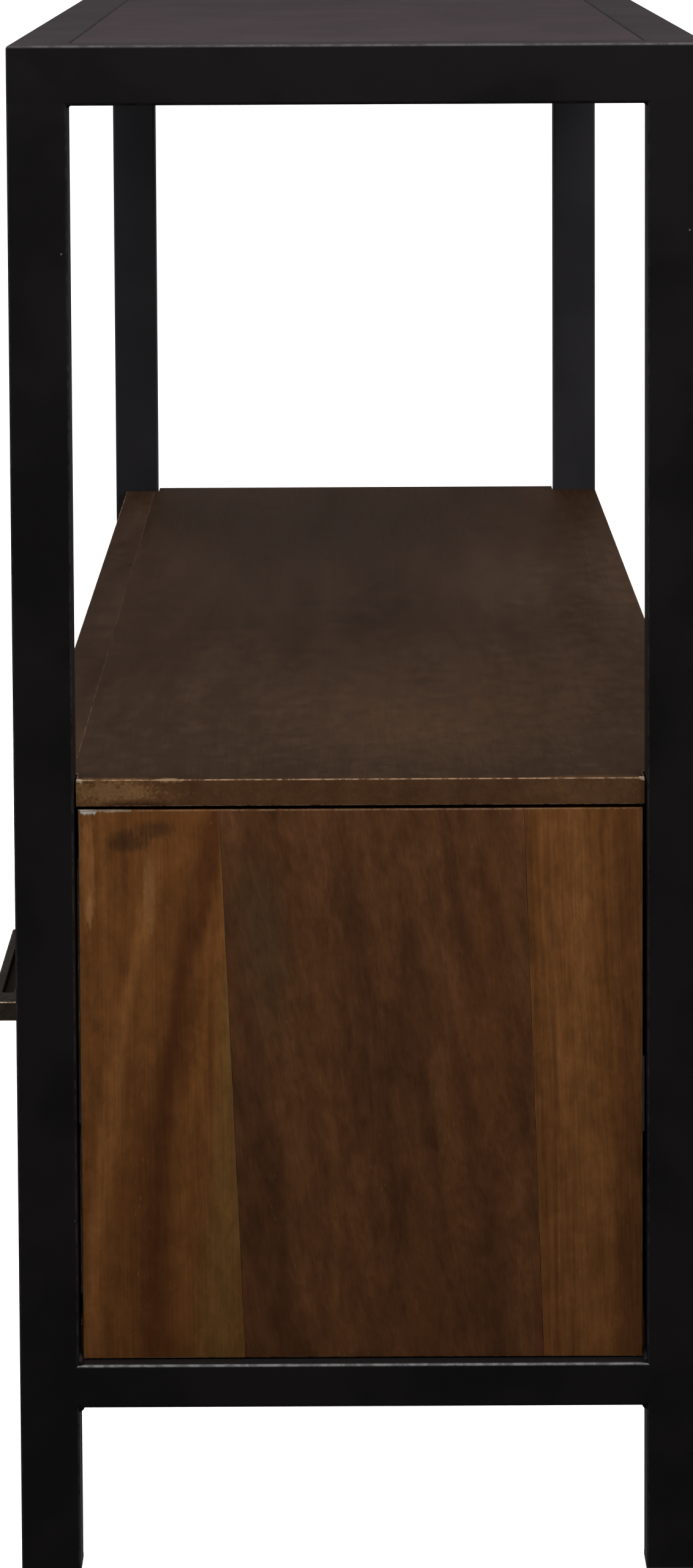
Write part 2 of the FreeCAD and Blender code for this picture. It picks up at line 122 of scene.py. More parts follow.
class Recipe:
    """Node tree of one material, with short calls for the nodes that the finishes share."""

    def __init__(self, name: str) -> None:
        """Start an empty material.

        Args:
            name: Name of the material.
        """
        self.material = bpy.data.materials.new(name)
        self.material.use_nodes = True
        self.tree = self.material.node_tree
        self.tree.nodes.clear()
        self.shader = self.tree.nodes.new("ShaderNodeBsdfPrincipled")
        output = self.tree.nodes.new("ShaderNodeOutputMaterial")
        self.tree.links.new(self.shader.outputs[0], output.inputs["Surface"])
        self.place = self.tree.nodes.new("ShaderNodeTexCoord").outputs["Object"]

    def plug(self, source: Feed, target: bpy.types.NodeSocket) -> None:
        """Feed a socket from another socket, or set it to a plain value.

        Args:
            source: Output socket, number or tuple.
            target: Input socket to feed.
        """
        if isinstance(source, bpy.types.NodeSocket):
            self.tree.links.new(source, target)
        else:
            target.default_value = source

    def sum(self, operation: str, first: Feed, second: Feed = 0.0) -> bpy.types.NodeSocket:
        """Add a Math node.

        Args:
            operation: Name of the operation, such as MULTIPLY.
            first: First value or socket.
            second: Second value or socket.

        Returns:
            The node's output.
        """
        node = self.tree.nodes.new("ShaderNodeMath")
        node.operation = operation
        self.plug(first, node.inputs[0])
        self.plug(second, node.inputs[1])
        return node.outputs[0]

    def times(self, first: Feed, second: Feed) -> bpy.types.NodeSocket:
        """Return the product of two values."""
        return self.sum("MULTIPLY", first, second)

    def axis_values(self, source: bpy.types.NodeSocket) -> Sequence[bpy.types.NodeSocket]:
        """Split a vector.

        Args:
            source: The vector.

        Returns:
            Its three components.
        """
        node = self.tree.nodes.new("ShaderNodeSeparateXYZ")
        self.plug(source, node.inputs[0])
        return list(node.outputs)

    def scaled(self, scale: Point3, shift: Point3 = (0.0, 0.0, 0.0),
               source: Feed | None = None) -> bpy.types.NodeSocket:
        """Scale and shift the object's own coordinates.

        Args:
            scale: Scale for each axis.
            shift: Shift added after scaling, which picks another stretch of the pattern.
            source: Vector to use instead of the object's coordinates.

        Returns:
            The scaled vector.
        """
        node = self.tree.nodes.new("ShaderNodeMapping")
        self.plug(source or self.place, node.inputs["Vector"])
        node.inputs["Scale"].default_value = scale
        node.inputs["Location"].default_value = shift
        return node.outputs[0]

    def cloud(self, vector: Feed, detail: float = 2.0, rough: float = 0.5,
              twist: float = 0.0) -> bpy.types.NodeSocket:
        """Add a Noise node of scale 1.

        Args:
            vector: Coordinates, scaled before.
            detail: Number of finer layers.
            rough: Strength of the finer layers.
            twist: Distortion of the pattern.

        Returns:
            The noise value, mostly between 0.25 and 0.75.
        """
        node = self.tree.nodes.new("ShaderNodeTexNoise")
        self.plug(vector, node.inputs["Vector"])
        node.inputs["Scale"].default_value = 1.0
        node.inputs["Detail"].default_value = detail
        node.inputs["Roughness"].default_value = rough
        node.inputs["Distortion"].default_value = twist
        return node.outputs[0]

    def cells(self, vector: Feed) -> bpy.types.NodeSocket:
        """Add a Voronoi node of scale 1.

        Args:
            vector: Coordinates, scaled before.

        Returns:
            The distance to the nearest of its scattered points.
        """
        node = self.tree.nodes.new("ShaderNodeTexVoronoi")
        self.plug(vector, node.inputs["Vector"])
        node.inputs["Scale"].default_value = 1.0
        return node.outputs["Distance"]

    def fit(self, value: Feed, low: float, high: float, bottom: float = 0.0,
            top: float = 1.0) -> bpy.types.NodeSocket:
        """Map a value from one range to another, smoothly and clamped.

        Args:
            value: Value or socket to map.
            low: Value that becomes bottom.
            high: Value that becomes top.
            bottom: Lowest result.
            top: Highest result.

        Returns:
            The mapped value.
        """
        node = self.tree.nodes.new("ShaderNodeMapRange")
        node.interpolation_type = "SMOOTHSTEP"
        self.plug(value, node.inputs["Value"])
        node.inputs["From Min"].default_value = low
        node.inputs["From Max"].default_value = high
        node.inputs["To Min"].default_value = bottom
        node.inputs["To Max"].default_value = top
        return node.outputs[0]

    def blend(self, share: Feed, first: Feed, second: Feed) -> bpy.types.NodeSocket:
        """Mix two colours.

        Args:
            share: How much of the second colour shows.
            first: First colour or socket.
            second: Second colour or socket.

        Returns:
            The mixed colour.
        """
        node = self.tree.nodes.new("ShaderNodeMix")
        node.data_type = "RGBA"
        self.plug(share, node.inputs[0])
        for colour, socket in ((first, node.inputs[6]), (second, node.inputs[7])):
            self.plug((*colour, 1.0) if isinstance(colour, tuple) else colour, socket)
        return node.outputs[2]

    def tones(self, value: Feed, *stops: tuple[float, Colour]) -> bpy.types.NodeSocket:
        """Turn a value into a colour through a ramp.

        Args:
            value: Value or socket between 0 and 1.
            *stops: Pairs of place and colour, in order.

        Returns:
            The colour.
        """
        node = self.tree.nodes.new("ShaderNodeValToRGB")
        self.plug(value, node.inputs[0])
        ramp = node.color_ramp
        ramp.interpolation = "EASE"
        while len(ramp.elements) < len(stops):
            ramp.elements.new(0.5)
        for element, (spot, colour) in zip(ramp.elements, stops):
            element.position = spot
            element.color = (*colour, 1.0)
        return node.outputs[0]

    def arris(self, name: str = "arris") -> bpy.types.NodeSocket:
        """Read a mark left on the mesh.

        Args:
            name: Name of the mark: arris or groove.

        Returns:
            A value of 1 on an arris, or in a groove, and 0 on a flat.
        """
        node = self.tree.nodes.new("ShaderNodeAttribute")
        node.attribute_name = name
        return node.outputs["Fac"]

    def upward(self) -> bpy.types.NodeSocket:
        """Return how far a face points up, from -1 to 1."""
        normal = self.tree.nodes.new("ShaderNodeTexCoord").outputs["Normal"]
        return self.axis_values(normal)[2]

    def shaded(self, colour: Feed, light: Feed) -> bpy.types.NodeSocket:
        """Multiply a colour by a brightness.

        Args:
            colour: Colour to shade.
            light: Brightness, 1 for no change.

        Returns:
            The shaded colour.
        """
        node = self.tree.nodes.new("ShaderNodeVectorMath")
        node.operation = "SCALE"
        self.plug(colour, node.inputs[0])
        self.plug(light, node.inputs["Scale"])
        return node.outputs["Vector"]

    def emboss(self, height: Feed, depth: float, strength: float = 1.0,
               under: Feed | None = None) -> bpy.types.NodeSocket:
        """Add a Bump node.

        Args:
            height: Height between 0 and 1.
            depth: Depth in metres of a height of 1.
            strength: Strength of the effect.
            under: Normal of an earlier Bump node.

        Returns:
            The normal.
        """
        node = self.tree.nodes.new("ShaderNodeBump")
        node.inputs["Strength"].default_value = strength
        node.inputs["Distance"].default_value = depth
        self.plug(height, node.inputs["Height"])
        if under is not None:
            self.plug(under, node.inputs["Normal"])
        return node.outputs[0]

    def finish(self, colour: Feed, rough: Feed, normal: Feed,
               **fixed: float | tuple[float, ...]) -> bpy.types.Material:
        """Connect the shader and set its even values on its own sockets.

        Args:
            colour: Base colour.
            rough: Roughness.
            normal: Surface normal.
            **fixed: Even values, named as the shader's sockets with underscores for spaces.

        Returns:
            The finished material.
        """
        self.plug(colour, self.shader.inputs["Base Color"])
        self.plug(rough, self.shader.inputs["Roughness"])
        self.plug(normal, self.shader.inputs["Normal"])
        for name, value in fixed.items():
            self.shader.inputs[name.replace("_", " ")].default_value = value
        return self.material


@dataclass(frozen=True)
class Streak:
    """Band of colour that runs with the grain of a board.

    Attributes:
        path: Pairs of place along the grain and place across it, in metres, in rising order.
        width: Half width at the start and at the end of the path.
        colour: Colour of the band.
        strength: How much of the colour shows at its middle.
        ends: How far the band takes to fade out at each end.
    """

    path: tuple[Point2, ...]
    width: Point2
    colour: Colour
    strength: float = 0.7
    ends: Point2 = (0.02, 0.02)


@dataclass(frozen=True)
class Patch:
    """Ragged spot of colour, such as a knot, a worn place, a chip in the lacquer, or a patch of painted shade
    or painted light.

    Attributes:
        centre: Middle of the spot.
        reach: Half size along each axis.
        colour: Colour of the spot.
        strength: How much of the colour shows at its middle.
        crisp: How sharply it ends, from 0 to 1.
        rag: How ragged its outline is.
    """

    centre: Point3
    reach: Point3
    colour: Colour
    strength: float = 0.8
    crisp: float = 0.3
    rag: float = 0.5


@dataclass(frozen=True)
class WoodFinish:
    """Stained and lacquered solid wood.

    Attributes:
        name: Name of the finish.
        grain: Axis that the grain runs along.
        deep: Colour of the dark figure.
        body: Colour of most of the wood.
        pale: Colour of the light figure.
        seed: Number that picks another stretch of the same wood.
        figure: Width of the broad figure, in metres.
        contrast: Strength of the fine fibres.
        streaks: Bands painted over the figure.
        patches: Spots painted over the figure.
        worn: Colour of a rubbed arris.
        wear: How much of the arris is rubbed.
        rough: Roughness of the lacquer.
        gloss: Specular level of the lacquer.
        lean: How far the fibres lean across the board, for each metre along it.
    """

    name: str
    grain: Axis
    deep: Colour
    body: Colour
    pale: Colour
    seed: float = 0.0
    figure: float = 0.03
    contrast: float = 0.10
    streaks: tuple[Streak, ...] = ()
    patches: tuple[Patch, ...] = ()
    worn: Colour = (0.16, 0.10, 0.055)
    wear: float = 0.6
    rough: float = 0.46
    gloss: float = 0.25
    lean: float = 0.0

    def mix(self) -> bpy.types.Material:
        """Make the material.

        Returns:
            The wood material.
        """
        mix = Recipe(self.name)
        grain, seed = self.grain, self.seed
        shift = (seed * 3.1, seed * 7.7, seed * 5.3)
        wander = mix.cloud(mix.scaled(grain.stretch(9.0, 3.0), shift), 1.0)
        sway = mix.times(mix.sum("SUBTRACT", wander, 0.5), 0.022)
        parts = mix.axis_values(mix.place)
        along = parts[grain.value]
        drift = mix.sum("ADD", sway, mix.times(along, self.lean))
        warp = mix.tree.nodes.new("ShaderNodeCombineXYZ")
        for index in range(3):
            value = parts[index] if index == grain.value else mix.sum("ADD", parts[index], drift)
            mix.plug(value, warp.inputs[index])
        bent = warp.outputs[0]

        broad = mix.cloud(mix.scaled(grain.stretch(1 / self.figure, 1.7), shift, bent), 3.0, 0.55, 0.5)
        bands = mix.cloud(mix.scaled(grain.stretch(3.6 / self.figure, 3.5), shift, bent), 3.0, 0.6, 0.4)
        fibre = mix.cloud(mix.scaled(grain.stretch(700.0, 9.0), shift, bent), 3.0, 0.6)
        mottle = mix.cloud(mix.scaled(grain.stretch(60.0, 34.0), shift), 4.0, 0.62)
        pores = mix.fit(mix.cells(mix.scaled(grain.stretch(560.0, 60.0), shift, bent)), 0.05, 0.22, 1.0, 0.0)
        crowd = mix.fit(mix.cloud(mix.scaled(grain.stretch(60.0, 6.0), shift, bent), 2.0), 0.42, 0.62)
        pores = mix.times(pores, crowd)

        tone = mix.sum("ADD", mix.times(broad, 0.62), mix.times(bands, 0.2))
        tone = mix.fit(mix.sum("ADD", tone, mix.times(mottle, 0.18)), 0.32, 0.68)
        colour = mix.tones(tone, (0.0, self.deep), (0.5, self.body), (1.0, self.pale))
        for streak in self.streaks:
            colour = self.draw_streak(mix, streak, along, bands, colour)
        for patch in self.patches:
            colour = self.draw_patch(mix, patch, shift, colour)

        light = mix.fit(fibre, 0.3, 0.7, 1.0 - self.contrast, 1.0 + self.contrast)
        blotch = mix.cloud(mix.scaled(grain.stretch(150.0, 90.0), shift, bent), 4.0, 0.65, 0.6)
        light = mix.times(light, mix.fit(mottle, 0.3, 0.7, 0.90, 1.10))
        light = mix.times(light, mix.fit(blotch, 0.3, 0.7, 0.88, 1.12))
        colour = mix.shaded(colour, light)
        colour = mix.blend(mix.times(pores, 0.28), colour, tuple(0.4 * c for c in self.deep))
        scuffs = mix.cloud(mix.scaled(grain.stretch(260.0, 70.0), shift), 3.0, 0.7)
        flecks = mix.fit(mix.cells(mix.scaled(grain.stretch(330.0, 120.0), shift, bent)), 0.05, 0.2, 1.0, 0.0)
        flecks = mix.times(flecks, mix.fit(bands, 0.55, 0.68))
        colour = mix.blend(mix.times(flecks, 0.4), colour, tuple(1.7 * c for c in self.pale))
        rub = mix.times(mix.fit(mix.arris(), 0.15, 0.8), mix.fit(scuffs, 0.36, 0.6))
        colour = mix.blend(mix.times(rub, self.wear), colour, self.worn)

        rough = mix.fit(mix.sum("ADD", mix.times(fibre, 0.6), mix.times(mottle, 0.4)), 0.3, 0.7,
                        self.rough - 0.07, self.rough + 0.09)
        normal = mix.emboss(mix.sum("SUBTRACT", mix.times(fibre, 0.5), pores), 0.00009, 0.55)
        normal = mix.emboss(mottle, 0.0006, 0.25, normal)
        return mix.finish(colour, rough, normal, Specular_IOR_Level=self.gloss)

    def draw_streak(self, mix: Recipe, streak: Streak, along: Feed, rag: Feed,
                    under: Feed) -> bpy.types.NodeSocket:
        """Lay one streak over a colour.

        Args:
            mix: Recipe of the material.
            streak: The streak.
            along: Place along the grain.
            rag: Value that makes the streak's edges ragged.
            under: Colour so far.

        Returns:
            The colour with the streak on it.
        """
        first, last = streak.path[0][0], streak.path[-1][0]
        low = min(across for _, across in streak.path) - 0.001
        high = max(across for _, across in streak.path) + 0.001
        span = mix.sum("DIVIDE", mix.sum("SUBTRACT", along, first), last - first)
        curve = mix.tree.nodes.new("ShaderNodeFloatCurve")
        points = curve.mapping.curves[0].points
        knots = [((a - first) / (last - first), (c - low) / (high - low)) for a, c in streak.path]
        for index, knot in enumerate(knots):
            point = points[index] if index < 2 else points.new(*knot)
            point.location = knot
        for point, knot in zip(sorted(points, key=lambda p: p.location[0]), knots):
            point.location = knot
        curve.mapping.update()
        mix.plug(mix.sum("MINIMUM", mix.sum("MAXIMUM", span, 0.0), 1.0), curve.inputs["Value"])
        middle = mix.sum("ADD", mix.times(curve.outputs[0], high - low), low)
        across = mix.axis_values(mix.place)[1 if self.grain is not Axis.Y else 0]
        shake = mix.times(mix.sum("SUBTRACT", rag, 0.5), 0.011)
        gap = mix.sum("ABSOLUTE", mix.sum("ADD", mix.sum("SUBTRACT", across, middle), shake))
        width = mix.sum("ADD", mix.times(span, streak.width[1] - streak.width[0]), streak.width[0])
        share = mix.fit(mix.sum("DIVIDE", gap, width), 0.0, 1.3, 1.0, 0.0)
        share = mix.times(share, mix.fit(along, first - streak.ends[0], first + streak.ends[0]))
        share = mix.times(share, mix.fit(along, last - streak.ends[1], last + streak.ends[1], 1.0, 0.0))
        return mix.blend(mix.times(share, streak.strength), under, streak.colour)

    def draw_patch(self, mix: Recipe, patch: Patch, shift: Point3,
                   under: Feed) -> bpy.types.NodeSocket:
        """Lay one patch over a colour.

        Args:
            mix: Recipe of the material.
            patch: The patch.
            shift: Shift that picks the stretch of ragged pattern.
            under: Colour so far.

        Returns:
            The colour with the patch on it.
        """
        scale = tuple(1 / r for r in patch.reach)
        centred = tuple(-c / r for c, r in zip(patch.centre, patch.reach))
        node = mix.tree.nodes.new("ShaderNodeVectorMath")
        node.operation = "LENGTH"
        mix.plug(mix.scaled(scale, centred), node.inputs[0])
        ragged = mix.cloud(mix.scaled(self.grain.stretch(420.0, 150.0), shift), 3.0, 0.65)
        reach = mix.sum("ADD", node.outputs["Value"],
                        mix.times(mix.sum("SUBTRACT", ragged, 0.5), 2.4 * patch.rag))
        share = mix.fit(reach, 0.35 + 0.55 * patch.crisp, 1.05, 1.0, 0.0)
        return mix.blend(mix.times(share, patch.strength), under, patch.colour)


@dataclass(frozen=True)
class PowderCoat:
    """Satin black powder coat on steel.

    Attributes:
        name: Name of the finish.
        body: Colour of the coat.
        bloom: Colour of the slightly lighter clouds in it.
        worn: Colour of a rubbed arris.
        wear: How much the arrises are rubbed.
        dust: How many specks of dust lie on it, from 0 to 1.
        dust_and_sheen: Colour of the thin layer of dust on its upper faces, together with a painted sheen
            that makes them lighter.
        rim: Colour of the painted highlight on the arrises that face up, where they catch the light.
        rough: Roughness of the coat.
        gloss: Specular level of the coat.
        seed: Number that picks another stretch of the pattern.
    """

    name: str
    body: Colour = (0.0047, 0.0041, 0.0043)
    bloom: Colour = (0.0070, 0.0060, 0.0063)
    worn: Colour = (0.05, 0.047, 0.047)
    wear: float = 0.3
    dust: float = 0.5
    dust_and_sheen: Colour = (0.026, 0.0185, 0.021)
    rim: Colour = (0.16, 0.15, 0.152)
    rough: float = 0.44
    gloss: float = 0.08
    seed: float = 0.0

    def mix(self) -> bpy.types.Material:
        """Make the material.

        Returns:
            The powder coat material.
        """
        mix = Recipe(self.name)
        shift = (self.seed, self.seed * 2.3, self.seed * 4.1)
        peel = mix.cloud(mix.scaled((520.0,) * 3, shift), 2.0, 0.45)
        grit = mix.cloud(mix.scaled((2600.0,) * 3, shift), 1.0)
        clouds = mix.cloud(mix.scaled((11.0,) * 3, shift), 3.0, 0.55)
        colour = mix.tones(mix.fit(clouds, 0.35, 0.65), (0.0, self.body), (1.0, self.bloom))
        colour = mix.blend(mix.fit(grit, 0.55, 0.75, 0.0, 0.35), colour, self.bloom)
        upward = mix.upward()
        # Upper faces are painted lighter: a layer of dust and a painted sheen.
        upper = mix.fit(upward, 0.5, 0.98)
        dust_and_sheen = mix.fit(mix.cloud(mix.scaled((6.0, 14.0, 6.0), shift), 4.0, 0.6), 0.3, 0.7, 0.7, 1.0)
        colour = mix.blend(mix.times(upper, dust_and_sheen), colour, self.dust_and_sheen)
        specks = mix.fit(mix.cells(mix.scaled((95.0,) * 3, shift)), 0.035, 0.075, 1.0, 0.0)
        picked = mix.fit(mix.cloud(mix.scaled((47.0,) * 3, shift), 1.0), 0.66, 0.70)
        specks = mix.times(mix.times(specks, picked), self.dust)
        colour = mix.blend(specks, colour, (0.22, 0.21, 0.20))
        scuff = mix.fit(mix.cloud(mix.scaled((140.0,) * 3, shift), 3.0, 0.7), 0.35, 0.65)
        rub = mix.times(mix.fit(mix.arris(), 0.3, 0.9), scuff)
        colour = mix.blend(mix.times(rub, self.wear), colour, self.worn)
        # Painted highlight: arrises that face up are painted in the rim colour.
        painted_rim_highlight = mix.times(mix.arris(), mix.fit(upward, 0.1, 0.5))
        painted_rim_highlight = mix.times(painted_rim_highlight, mix.fit(scuff, 0.0, 1.0, 0.45, 1.0))
        colour = mix.blend(painted_rim_highlight, colour, self.rim)
        rough = mix.fit(mix.sum("ADD", mix.times(clouds, 0.5), mix.times(peel, 0.5)), 0.35, 0.65,
                        self.rough - 0.05, self.rough + 0.06)
        normal = mix.emboss(peel, 0.00006, 0.5)
        normal = mix.emboss(grit, 0.00001, 0.3, normal)
        return mix.finish(colour, rough, normal, Specular_IOR_Level=self.gloss)


@dataclass(frozen=True)
class MetalFinish:
    """Bare, plated or patinated metal with a brushed or rolled direction.

    Attributes:
        name: Name of the finish.
        body: Colour of most of the metal.
        shade: Colour of its darker clouds.
        worn: Colour of rubbed edges, which on the pull also stands for a painted highlight.
        lay: Axis that the brush or roll marks run along.
        rough: Roughness.
        brushed: Strength of the marks.
        spangle: Size of the plating's crystals in metres, or 0 for none.
        metallic: How metallic the surface is.
        wear: How much the arrises are rubbed.
        gloss: Specular level of a finish that isn't fully metallic.
        painted_upper_shade: How much painted shade darkens its upper faces.
    """

    name: str
    body: Colour
    shade: Colour
    worn: Colour
    lay: Axis = Axis.X
    rough: float = 0.35
    brushed: float = 0.4
    spangle: float = 0.0
    metallic: float = 1.0
    wear: float = 0.6
    gloss: float = 0.5
    painted_upper_shade: float = 0.0

    def mix(self) -> bpy.types.Material:
        """Make the material.

        Returns:
            The metal material.
        """
        mix = Recipe(self.name)
        lines = mix.cloud(mix.scaled(self.lay.stretch(2400.0, 60.0)), 2.0, 0.6)
        clouds = mix.cloud(mix.scaled(self.lay.stretch(160.0, 60.0)), 3.0, 0.6)
        tone = mix.fit(clouds, 0.35, 0.65)
        if self.spangle:
            node = mix.tree.nodes.new("ShaderNodeTexVoronoi")
            mix.plug(mix.scaled((1 / self.spangle,) * 3), node.inputs["Vector"])
            node.inputs["Scale"].default_value = 1.0
            flake = mix.axis_values(node.outputs["Color"])[0]
            tone = mix.sum("ADD", mix.times(tone, 0.4), mix.times(flake, 0.6))
        colour = mix.tones(tone, (0.0, self.shade), (1.0, self.body))
        colour = mix.blend(mix.fit(lines, 0.35, 0.75, 0.0, 0.3 * self.brushed), colour, self.worn)
        scuff = mix.fit(mix.cloud(mix.scaled((300.0,) * 3), 3.0, 0.7), 0.32, 0.6)
        # On the pull, the rubbed arrises are also a painted highlight.
        rub = mix.times(mix.fit(mix.arris(), 0.2, 0.8), scuff)
        colour = mix.blend(mix.times(rub, self.wear), colour, self.worn)
        # Painted shade: upper faces, away from the arrises, are painted darker.
        painted_upper_shade = mix.times(mix.fit(mix.upward(), 0.7, 0.98), mix.sum("SUBTRACT", 1.0, mix.arris()))
        colour = mix.blend(mix.times(painted_upper_shade, self.painted_upper_shade), colour, tuple(0.4 * c for c in self.shade))
        # Painted shade in the groove: its walls and floor are painted darker.
        colour = mix.blend(mix.arris("groove"), colour, tuple(1.5 * c for c in self.shade))
        rough = mix.fit(mix.sum("ADD", mix.times(lines, 0.5), mix.times(tone, 0.5)), 0.25, 0.8,
                        self.rough - 0.06, self.rough + 0.08)
        rough = mix.sum("ADD", rough, mix.times(mix.arris("groove"), 0.4))
        normal = mix.emboss(lines, 0.00002, self.brushed)
        normal = mix.emboss(clouds, 0.00004, 0.3, normal)
        return mix.finish(colour, rough, normal, Metallic=self.metallic,
                          Specular_IOR_Level=self.gloss)


@dataclass(frozen=True)
class MouldedPlastic:
    """Black moulded plastic with a fine spark-eroded texture.

    Attributes:
        name: Name of the finish.
        body: Colour of the plastic.
        scuffed: Colour where it is scuffed.
        rough: Roughness.
    """

    name: str
    body: Colour = (0.012, 0.012, 0.0125)
    scuffed: Colour = (0.045, 0.045, 0.045)
    rough: float = 0.55

    def mix(self) -> bpy.types.Material:
        """Make the material.

        Returns:
            The plastic material.
        """
        mix = Recipe(self.name)
        spark = mix.cloud(mix.scaled((1700.0,) * 3), 2.0, 0.5)
        scuff = mix.cloud(mix.scaled((130.0,) * 3), 3.0, 0.7)
        rub = mix.fit(mix.sum("ADD", scuff, mix.times(mix.arris(), 0.2)), 0.55, 0.75)
        colour = mix.tones(mix.times(rub, 0.6), (0.0, self.body), (1.0, self.scuffed))
        rough = mix.fit(spark, 0.3, 0.7, self.rough - 0.08, self.rough + 0.08)
        normal = mix.emboss(spark, 0.00003, 0.5)
        return mix.finish(colour, rough, normal, Specular_IOR_Level=0.35)


Finish = WoodFinish | PowderCoat | MetalFinish | MouldedPlastic


@functools.cache
def mixed(finish: Finish) -> bpy.types.Material:
    """Return the material of a finish, made once."""
    return finish.mix()


# ---------------------------------------------------------------------------------------------
# Mesh making
# ---------------------------------------------------------------------------------------------


@dataclass
class Outline:
    """Closed outline, drawn anticlockwise, that knows which way is out at each point.

    Attributes:
        points: The points.
        outward: For each point, how it moves when the outline grows by 1.
        arris: For each point, its share of edge rounding.
    """

    points: list[Point2]
    outward: list[Point2]
    arris: list[float]

    @classmethod
    def drawn(cls, corners: Sequence[Point2], radius: float | Sequence[float] = 0.0,
              shares: Sequence[float] | None = None, steps: int = 4) -> "Outline":
        """Draw an outline with rounded corners.

        Args:
            corners: Corners, anticlockwise.
            radius: Radius of every corner, or one for each.
            shares: For the edge after each corner, how much of the arris easing it gets.
            steps: Number of facets in a rounded corner.

        Returns:
            The outline.
        """
        count = len(corners)
        radii = [radius] * count if isinstance(radius, (int, float)) else list(radius)
        shares = list(shares or [1.0] * count)
        made = cls([], [], [])
        for index, corner in enumerate(corners):
            here = Vector(corner)
            before = (here - Vector(corners[index - 1])).normalized()
            after = (Vector(corners[(index + 1) % count]) - here).normalized()
            out_before = Vector((before.y, -before.x))
            out_after = Vector((after.y, -after.x))
            share_before, share_after = shares[index - 1], shares[index]
            turn = before.x * after.y - before.y * after.x
            if radii[index] <= 0:
                det = out_before.x * out_after.y - out_before.y * out_after.x
                if abs(det) < 1e-6:
                    move = out_before * share_before
                else:
                    move = Vector(((share_before * out_after.y - share_after * out_before.y) / det,
                                   (share_after * out_before.x - share_before * out_after.x) / det))
                made.add(here, move, 0.0)
                continue
            side = 1 if turn > 0 else -1
            angle = math.acos(max(-1.0, min(1.0, before.dot(after))))
            start = here - before * radii[index] * math.tan(angle / 2)
            centre = start - out_before * radii[index] * side
            for step in range(steps + 1):
                part = step / steps
                swing = side * angle * part
                normal = Vector((out_before.x * math.cos(swing) - out_before.y * math.sin(swing),
                                 out_before.x * math.sin(swing) + out_before.y * math.cos(swing)))
                worn = max(0.0, 1 - abs(2 * part - 1)) if side > 0 else 0.0
                share = share_before * (1 - part) + share_after * part
                made.add(centre + normal * radii[index] * side, normal * share, worn)
        return made

    @classmethod
    def box(cls, low: Point2, high: Point2, radius: float = 0.0, steps: int = 4,
            shares: Sequence[float] | None = None) -> "Outline":
        """Draw a rectangle from its lowest to its highest corner.

        Args:
            low: Lowest corner.
            high: Highest corner.
            radius: Radius of the corners.
            steps: Number of facets in a corner.
            shares: Easing of the bottom, right, top and left edges.

        Returns:
            The outline.
        """
        corners = [low, (high[0], low[1]), high, (low[0], high[1])]
        return cls.drawn(corners, radius, shares, steps)

    @classmethod
    def circle(cls, centre: Point2, radius: float, steps: int = 32) -> "Outline":
        """Draw a circle.

        Args:
            centre: Its centre.
            radius: Its radius.
            steps: Number of facets in it.

        Returns:
            The outline.
        """
        turns = [2 * math.pi * n / steps for n in range(steps)]
        ways = [(math.cos(a), math.sin(a)) for a in turns]
        spots = [(centre[0] + radius * x, centre[1] + radius * y) for x, y in ways]
        return cls(spots, ways, [0.0] * steps)

    def add(self, spot: Vector, outward: Vector, worn: float) -> None:
        """Add one point.

        Args:
            spot: Its place.
            outward: How it moves when the outline grows by 1.
            worn: Its share of edge rounding.
        """
        self.points.append(tuple(spot))
        self.outward.append(tuple(outward))
        self.arris.append(worn)

    def inset(self, depth: float) -> list[Point2]:
        """Return the points moved inwards by a depth."""
        return [(p[0] - depth * n[0], p[1] - depth * n[1]) for p, n in zip(self.points, self.outward)]


@dataclass(frozen=True)
class Pocket:
    """Blind groove sunk into the top of a drawn-out shape.

    Attributes:
        outline: Its outline.
        depth: Its depth.
        rim: Rounding of its rim.
        worn: Share of wear that the rim gets.
    """

    outline: Outline
    depth: float
    rim: float
    worn: float = 0.3


